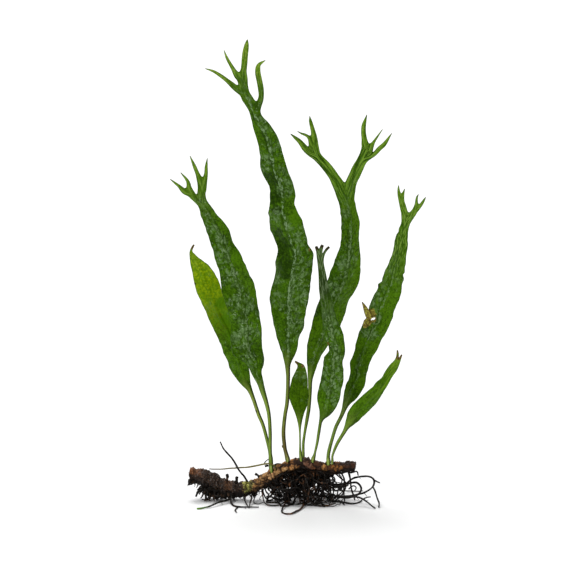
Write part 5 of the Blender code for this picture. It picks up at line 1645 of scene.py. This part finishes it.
# Among these, the lit colour and lit half are painted light; the shadow colour, the groove strengths and the
# stalk's shaded colour are painted shade
# The sheen levels, colour and strength, the glint colour and share, and the midrib's colour and strength are
# painted sheen and highlights
LEAF_BASICS = {
    "columns": 36, "blister": 0.5, "swell": 0.55, "frill": 0.35, "folds": ((0.0, 0.1, 0.1),), "holes": (),
    "marks": (), "extras": (), "nudges": (), "lanes": (18.0, 40.0), "lane_share": 0.5,
    "deep": srgb(26, 52, 0), "dark": srgb(42, 76, 0), "mid": srgb(56, 96, 2), "light": srgb(82, 124, 14),
    "lit": srgb(74, 118, 6), "lane": srgb(120, 152, 60), "lane_base": srgb(82, 124, 14),
    "sheen_colour": srgb(100, 128, 80), "glint": srgb(146, 170, 128), "rib": srgb(112, 138, 90),
    "prong": srgb(130, 160, 52), "prong_share": 0.7, "prong_margin": 0.8, "streak": (0.45, 5.5),
    "shadow": srgb(20, 47, 0), "pale": srgb(146, 176, 8), "pale_deep": srgb(112, 146, 6),
    "stalk": srgb(122, 146, 58), "dead": (srgb(118, 108, 48), srgb(76, 60, 28)),
    "stalk_low": srgb(116, 142, 56), "stalk_shade": srgb(48, 64, 14), "painted_sheen": (0.4, 0.4), "groove_shade": 0.55,
    "groove_side": 0.7, "rib_groove_shade": 0.4, "rib_highlight": 0.8, "sheen_share": 0.85, "glint_share": 0.55,
    "fade": (300.0, 400.0, 0.0), "lit_side": (3.0, 4.0), "gloss": 0.32, "specular": 0.08,
}

LEAF_LOOKS = (
    {
        "node": "leaf_far_left", "foot": 2.3, "rows": FAR_LEFT_ROWS, "arms": (), "stalk_top": 52.0,
        "twist": -0.32, "slot": "young_leaf", "fade": (76.0, 116.0, 0.9), "pale": srgb(154, 180, 4),
        "pale_deep": srgb(98, 134, 0), "shadow": srgb(68, 110, 0), "lane_share": 0.0, "prong_share": 0.3,
        "painted_sheen": (0.0, 0.0), "groove_shade": 0.3, "rib_highlight": 0.0, "rib_groove_shade": 0.25, "blister": 0.26,
        "gloss": 0.4, "stalk": srgb(132, 148, 66),
        "marks": (
            ("brown", -52.9, 127.4, 2.2), ("shade", -38.6, 99.0, 3.4), ("shade", -35.5, 91.0, 4.2),
            ("shade", -32.0, 82.0, 4.6), ("dark", -53.9, 115.5, 0.6), ("dark", -52.2, 108.5, 0.7),
            ("dark", -21.4, 44.6, 0.7),
        ),
        "nudges": ((1.0, 120.5, 2.5, -0.7), (-1.0, 66.0, 4.0, 1.0), (-1.0, 120.0, 5.0, 0.4)),
    },
    {
        "node": "leaf_left_forked", "foot": -0.7, "rows": LEFT_FORKED_ROWS, "arms": LEFT_FORKED_ARMS,
        "stalk_top": 52.0, "twist": 0.26, "slot": "leaf", "painted_sheen": (0.5, 0.3), "glint_share": 0.75,
        "folds": ((50.0, 0.1, 0.15), (150.0, 0.1, 0.15)),
        "marks": (
            ("painted_sheen", -38.5, 126.0, 5.0), ("painted_sheen", -33.0, 112.0, 4.5), ("painted_sheen", -28.5, 99.0, 7.0),
            ("painted_sheen", -25.5, 84.0, 6.0), ("sheen_free", -28.5, 118.0, 3.5), ("painted_light", -29.5, 121.0, 3.6),
            ("sheen_free", -21.5, 104.0, 3.0), ("painted_light", -22.0, 103.0, 3.0), ("sheen_free", -36.0, 104.0, 2.6),
        ),
        "nudges": ((1.0, 140.5, 4.0, -0.8), (1.0, 68.5, 3.0, 0.7)),
    },
    {
        "node": "leaf_tall", "foot": -0.2, "rows": TALL_ROWS, "arms": TALL_ARMS, "stalk_top": 66.0,
        "twist": -0.2, "slot": "leaf", "painted_sheen": (0.2, 0.45), "rib_groove_shade": 0.8, "rib_highlight": 1.0,
        "rib": srgb(120, 146, 104), "prong": srgb(146, 168, 62), "prong_share": 0.85, "prong_margin": 0.3,
        "groove_side": 1.0, "stalk": srgb(118, 132, 58), "stalk_low": srgb(104, 92, 52),
        "stalk_shade": srgb(50, 44, 16),
        "extras": (((-7.6, 26.4, 0.9, 0.4), (-8.0, 27.1, 0.8, 0.3), (-8.3, 27.6, 0.3, 0.3)),),
        "folds": (
            (60.0, 0.15, 0.1), (98.0, 0.1, 0.1), (108.0, 0.4, 0.05), (134.0, 0.4, 0.05), (150.0, 0.1, 0.1),
        ),
        "marks": (
            ("sheen_free", -9.0, 127.0, 6.0), ("shade", -8.6, 127.5, 6.0), ("shade", -9.8, 134.0, 3.0),
            ("shade", -6.6, 113.5, 3.0), ("shade", -11.0, 145.5, 2.8), ("sheen_free", -8.5, 118.5, 4.0),
            ("shade", -7.0, 118.5, 4.5), ("sheen_free", -13.8, 160.0, 4.6), ("shade", -14.0, 160.0, 5.0),
            ("sheen_free", -13.5, 151.5, 3.6), ("shade", -12.0, 151.5, 3.6), ("sheen_free", -1.0, 142.0, 4.0),
            ("painted_light", -1.0, 142.0, 4.4), ("painted_sheen", -9.6, 110.5, 2.8), ("painted_sheen", -11.0, 143.0, 4.0),
            ("painted_sheen", -9.5, 98.0, 4.0), ("painted_sheen", 0.5, 130.0, 5.0), ("painted_sheen", 4.0, 113.0, 5.5),
            ("painted_sheen", 1.5, 121.0, 5.0), ("painted_sheen", 1.0, 99.0, 5.0), ("painted_sheen", -11.0, 176.0, 4.0),
            ("painted_sheen", -18.0, 169.0, 5.5), ("painted_sheen", -8.0, 157.0, 4.5), ("painted_sheen", -6.5, 165.0, 4.0),
            ("sheen_free", -4.0, 148.0, 2.6), ("brown", 5.6, 125.6, 0.8), ("dark", -6.4, 37.5, 0.8),
        ),
        "nudges": (
            (-1.0, 137.0, 4.5, 1.2), (-1.0, 116.0, 3.6, 1.3), (-1.0, 167.0, 4.5, 0.7),
            (-1.0, 144.5, 2.5, 0.5), (-1.0, 129.5, 2.0, -0.5), (1.0, 148.0, 2.2, -0.9),
            (1.0, 153.5, 3.0, 0.3), (1.0, 126.4, 0.9, -0.5), (1.0, 123.8, 1.3, 0.5),
            (1.0, 120.4, 1.5, -0.3), (1.0, 87.0, 3.0, 0.7),
        ),
    },
    {
        "node": "leaf_small_front", "foot": -2.3, "rows": SMALL_FRONT_ROWS, "arms": (), "stalk_top": 36.0,
        "twist": 0.3, "slot": "young_leaf", "painted_sheen": (0.0, 0.0), "rib_highlight": 0.0, "rib_groove_shade": 0.35,
        "prong_share": 0.12, "lane_share": 0.0, "groove_shade": 0.35, "blister": 0.3, "dark": srgb(48, 80, 0),
        "mid": srgb(60, 94, 0), "light": srgb(74, 110, 6), "specular": 0.05,
        "marks": (
            ("brown", -1.3, 69.7, 1.9), ("brown", 2.0, 67.6, 0.9), ("painted_sheen", 0.8, 64.4, 4.4),
            ("painted_sheen", 2.8, 60.0, 2.6),
        ),
        "nudges": ((1.0, 49.5, 6.0, 0.9), (1.0, 62.0, 3.0, 0.4)),
    },
    {
        "node": "leaf_back_forked", "foot": 0.9, "rows": BACK_FORKED_ROWS, "arms": BACK_FORKED_ARMS,
        "stalk_top": 60.0, "twist": 0.3, "slot": "leaf", "painted_sheen": (0.5, 0.0),
        "folds": ((60.0, 0.1, 0.2), (100.0, 0.05, 0.35), (150.0, 0.05, 0.3)), "lit_side": (0.0, 0.7),
        "lanes": (28.0, 64.0), "lane_share": 0.9, "streak": (0.42, 8.0), "lit": srgb(82, 124, 8),
        "lane_base": srgb(70, 112, 12), "lane": srgb(114, 150, 48),
        "nudges": ((1.0, 126.0, 7.0, 1.3), (1.0, 96.5, 7.0, 1.7), (-1.0, 119.5, 5.0, 0.8)),
        "marks": (
            ("painted_sheen", 22.5, 118.0, 4.0), ("painted_sheen", 27.5, 121.0, 2.6), ("painted_sheen", 19.0, 108.0, 4.5),
            ("painted_sheen", 22.0, 146.0, 3.5), ("sheen_free", 8.0, 85.0, 8.0), ("painted_light", 7.0, 86.0, 6.5),
            ("sheen_free", 12.0, 76.0, 6.0), ("painted_light", 7.5, 76.0, 5.0),
        ),
    },
    {
        "node": "leaf_front_narrow", "foot": -2.0, "rows": FRONT_NARROW_ROWS, "arms": FRONT_NARROW_ARMS,
        "stalk_top": 40.0, "twist": -0.28, "slot": "leaf", "painted_sheen": (0.5, 0.45),
        "folds": ((40.0, 0.2, 0.2), (80.0, 0.15, 0.2), (100.0, 0.45, 0.45), (124.0, 0.5, 0.5)),
        "stalk": srgb(72, 98, 30), "stalk_shade": srgb(34, 48, 12), "prong": srgb(50, 60, 32),
        "nudges": ((-1.0, 74.5, 2.2, -0.9), (-1.0, 71.0, 0.8, 0.3)), "lane": srgb(98, 116, 80),
        "lane_base": srgb(26, 38, 18), "lane_share": 1.0, "prong_share": 0.25, "lanes": (16.0, 44.0),
        "marks": (
            ("dark", 8.0, 127.0, 2.4), ("dark", 11.8, 128.6, 2.6), ("dark", 15.4, 127.4, 2.6),
            ("brown", 14.6, 78.6, 0.9), ("shade", 11.0, 122.0, 5.0), ("shade", 13.0, 108.0, 4.0),
            ("painted_sheen", 12.0, 112.0, 6.0), ("painted_sheen", 11.0, 121.0, 4.0), ("painted_sheen", 14.5, 92.0, 5.0),
            ("painted_sheen", 17.0, 60.0, 7.0), ("sheen_free", 13.5, 48.0, 3.5), ("painted_light", 12.5, 49.0, 3.0),
        ),
    },
    {
        "node": "leaf_right_forked", "foot": 1.2, "rows": RIGHT_FORKED_ROWS, "arms": RIGHT_FORKED_ARMS,
        "stalk_top": 45.0, "twist": -0.3, "slot": "leaf", "painted_sheen": (0.42, 0.15),
        "folds": ((45.0, 0.1, 0.1), (80.0, 0.05, 0.3), (130.0, 0.05, 0.25)), "lit_side": (0.1, 0.9),
        "lit": srgb(74, 116, 8), "dark": srgb(50, 88, 0), "mid": srgb(66, 108, 2), "lanes": (22.0, 60.0),
        "lane_share": 0.8, "streak": (0.42, 3.2), "lane_base": srgb(68, 110, 10), "prong_share": 0.5,
        "nudges": (
            (1.0, 112.0, 4.0, 1.0), (1.0, 114.6, 0.7, -0.6), (-1.0, 106.4, 1.2, 0.7),
            (-1.0, 108.6, 0.8, -0.5), (-1.0, 135.6, 0.8, 0.25), (-1.0, 134.0, 0.7, -0.25),
            (-1.0, 67.5, 3.0, 0.8), (1.0, 57.5, 4.5, 1.0),
        ),
        "stalk": srgb(132, 156, 76), "dead": (srgb(160, 156, 66), srgb(112, 92, 38)),
        "holes": ((37.5, 91.1, 1.15, 0.55, 0.45),),
        "marks": (
            ("brown", 36.0, 93.4, 3.2), ("brown", 34.6, 89.6, 2.6), ("brown", 37.6, 90.8, 2.0),
            ("dark", 40.2, 107.6, 0.5), ("brown", 49.2, 134.8, 0.6), ("painted_light", 33.0, 79.0, 5.0),
            ("painted_light", 29.5, 70.0, 6.0), ("painted_light", 26.5, 62.0, 5.5), ("painted_light", 24.0, 54.0, 4.0),
            ("painted_sheen", 36.0, 83.0, 3.4), ("painted_sheen", 42.0, 112.0, 4.5), ("painted_sheen", 47.5, 126.0, 3.4),
        ),
        "extras": (
            (
                (35.8, 90.9, 2.6, 6.6), (35.0, 92.8, 3.0, 6.5), (33.9, 95.4, 2.5, 6.2),
                (32.8, 97.8, 1.4, 5.8), (31.9, 99.4, 0.5, 5.4),
            ),
            (
                (33.4, 86.6, 2.2, 6.4), (33.2, 88.4, 1.9, 6.2), (33.0, 89.8, 0.8, 6.0),
                (33.0, 90.4, 0.3, 5.9),
            ),
        ),
    },
    {
        "node": "leaf_small_right", "foot": -1.1, "rows": SMALL_RIGHT_ROWS, "arms": SMALL_RIGHT_ARMS,
        "stalk_top": 35.0, "twist": 0.35, "slot": "young_leaf", "blister": 0.3, "painted_sheen": (0.0, 0.0),
        "lane": srgb(120, 156, 28), "lane_base": srgb(74, 120, 2), "lane_share": 0.4, "prong_share": 0.4,
        "rib_highlight": 0.0, "rib_groove_shade": 0.4, "mid": srgb(66, 108, 4), "dark": srgb(50, 86, 0),
        "folds": ((30.0, 0.1, 0.25),),
        "nudges": (
            (1.0, 50.0, 4.5, 1.2), (-1.0, 66.0, 3.0, 0.4), (-1.0, 60.8, 1.4, -0.4), (-1.0, 57.4, 2.0, 0.5),
        ),
        "marks": (("brown", 49.4, 75.6, 2.0), ("brown", 51.4, 73.0, 1.6), ("brown", 50.0, 72.0, 1.4)),
    },
)


# Colours along the olive root and the root with a living tip: share of the length, colour
OLIVE_ROOT_STOPS = (
    (0.0, srgb(52, 40, 22)), (0.25, srgb(112, 104, 36)), (0.8, srgb(104, 92, 36)), (1.0, srgb(64, 48, 32)),
)
LIVING_ROOT_STOPS = (
    (0.0, srgb(13, 10, 7)), (0.74, srgb(18, 15, 8)), (0.88, srgb(70, 104, 24)), (1.0, srgb(104, 150, 34)),
)


def make_leaves():
    for index, own in enumerate(LEAF_LOOKS):
        leaf = {**LEAF_BASICS, **own}
        leaf["phase"] = RUFFLE_PHASE_STEP * index
        leaf["shift"] = NOISE_SHIFT_STEP * index
        seed = LEAF_SEED + LEAF_SEED_STEP * index
        points, faces, values = make_leaf_skin(leaf, seed)
        for number, rows in enumerate(leaf["extras"]):
            torn = {**leaf, "rows": rows, "arms": (), "columns": FLAP_COLUMNS, "holes": ()}
            more, more_faces, more_values = make_leaf_skin(torn, seed + FLAP_SEED + number)
            more_values["brown"] = np.maximum(more_values["brown"], 0.8)
            more_values["prong"] = np.zeros(len(more))
            faces = np.concatenate([faces, more_faces + len(points)])
            points = np.concatenate([points, more])
            values = {key: np.concatenate([values[key], more_values[key]]) for key in values}
        node = leaf["node"]
        material = leaf_material(node + "_tissue", leaf)
        make_piece(node + "_skin", points, faces.tolist(), values, material, leaf["slot"], (node,))


def make_roots():
    black = root_material("root_black", srgb(11, 9, 7), srgb(110, 72, 44), 0.55, 0.32)
    olive = graded_root_material("root_olive", OLIVE_ROOT_STOPS, 0.4)
    living = graded_root_material("root_living", LIVING_ROOT_STOPS, 0.36)
    special = {"root_runner": (olive, "olive_root"), "root_green_tip": (living, "root")}
    single = (
        ("root_upright", UPRIGHT_ROOT, (), 0.5, 0.7),
        ("root_runner", RUNNER_ROOT, (), 0.42, 0.6),
        ("root_green_tip", GREEN_TIP_ROOT, (), 0.5, 0.8),
        ("root_hooked", HOOKED_ROOT, HOOKED_ROOT_BRANCHES, 0.48, 0.6),
        ("root_left_loop", LEFT_LOOP_ROOT, (), 0.36, 0.8),
        ("root_front_loop", FRONT_LOOP_ROOT, (), 0.46, 0.85),
        ("root_right_loop", RIGHT_LOOP_ROOT, RIGHT_LOOP_BRANCHES, 0.5, 0.8),
        ("root_right_inner", RIGHT_INNER_ROOT, (), 0.52, 0.8),
        ("root_right_front", RIGHT_FRONT_ROOT, (), 0.5, 0.7),
        ("root_right_floor", RIGHT_FLOOR_ROOT, (), 0.48, 0.7),
        ("root_right_drop", RIGHT_DROP_ROOT, (), 0.5, 0.8),
        ("root_end_stub", END_STUB_ROOT, (), 0.42, 0.8),
        ("root_back_left", BACK_LEFT_ROOT, (), 0.4, 0.8),
        ("root_back_right", BACK_RIGHT_ROOT, (), 0.36, 0.6),
        ("root_back_old", BACK_OLD_ROOT, (), 0.36, 0.6),
    )
    for index, (name, route, branches, radius, tip_share) in enumerate(single):
        material, slot = special.get(name, (black, "root"))
        make_root(name, (route, *branches), radius, tip_share, material, slot, ROOT_SEED + index)
    make_root_mass(black)
    make_stubs(root_material("old_root", srgb(13, 10, 7), srgb(92, 64, 42), 0.8, 0.44))


make_leaves()
make_rhizome(rhizome_material())
make_roots()
add_floor()
add_world(0.42)
add_sun("top", (-0.15, 0.45, 1.0), 2.2, 42.0)
add_sun("front", (-0.5, -0.75, 0.62), 1.1, 24.0)
add_camera()
bpy.context.scene.view_settings.view_transform = "Standard"
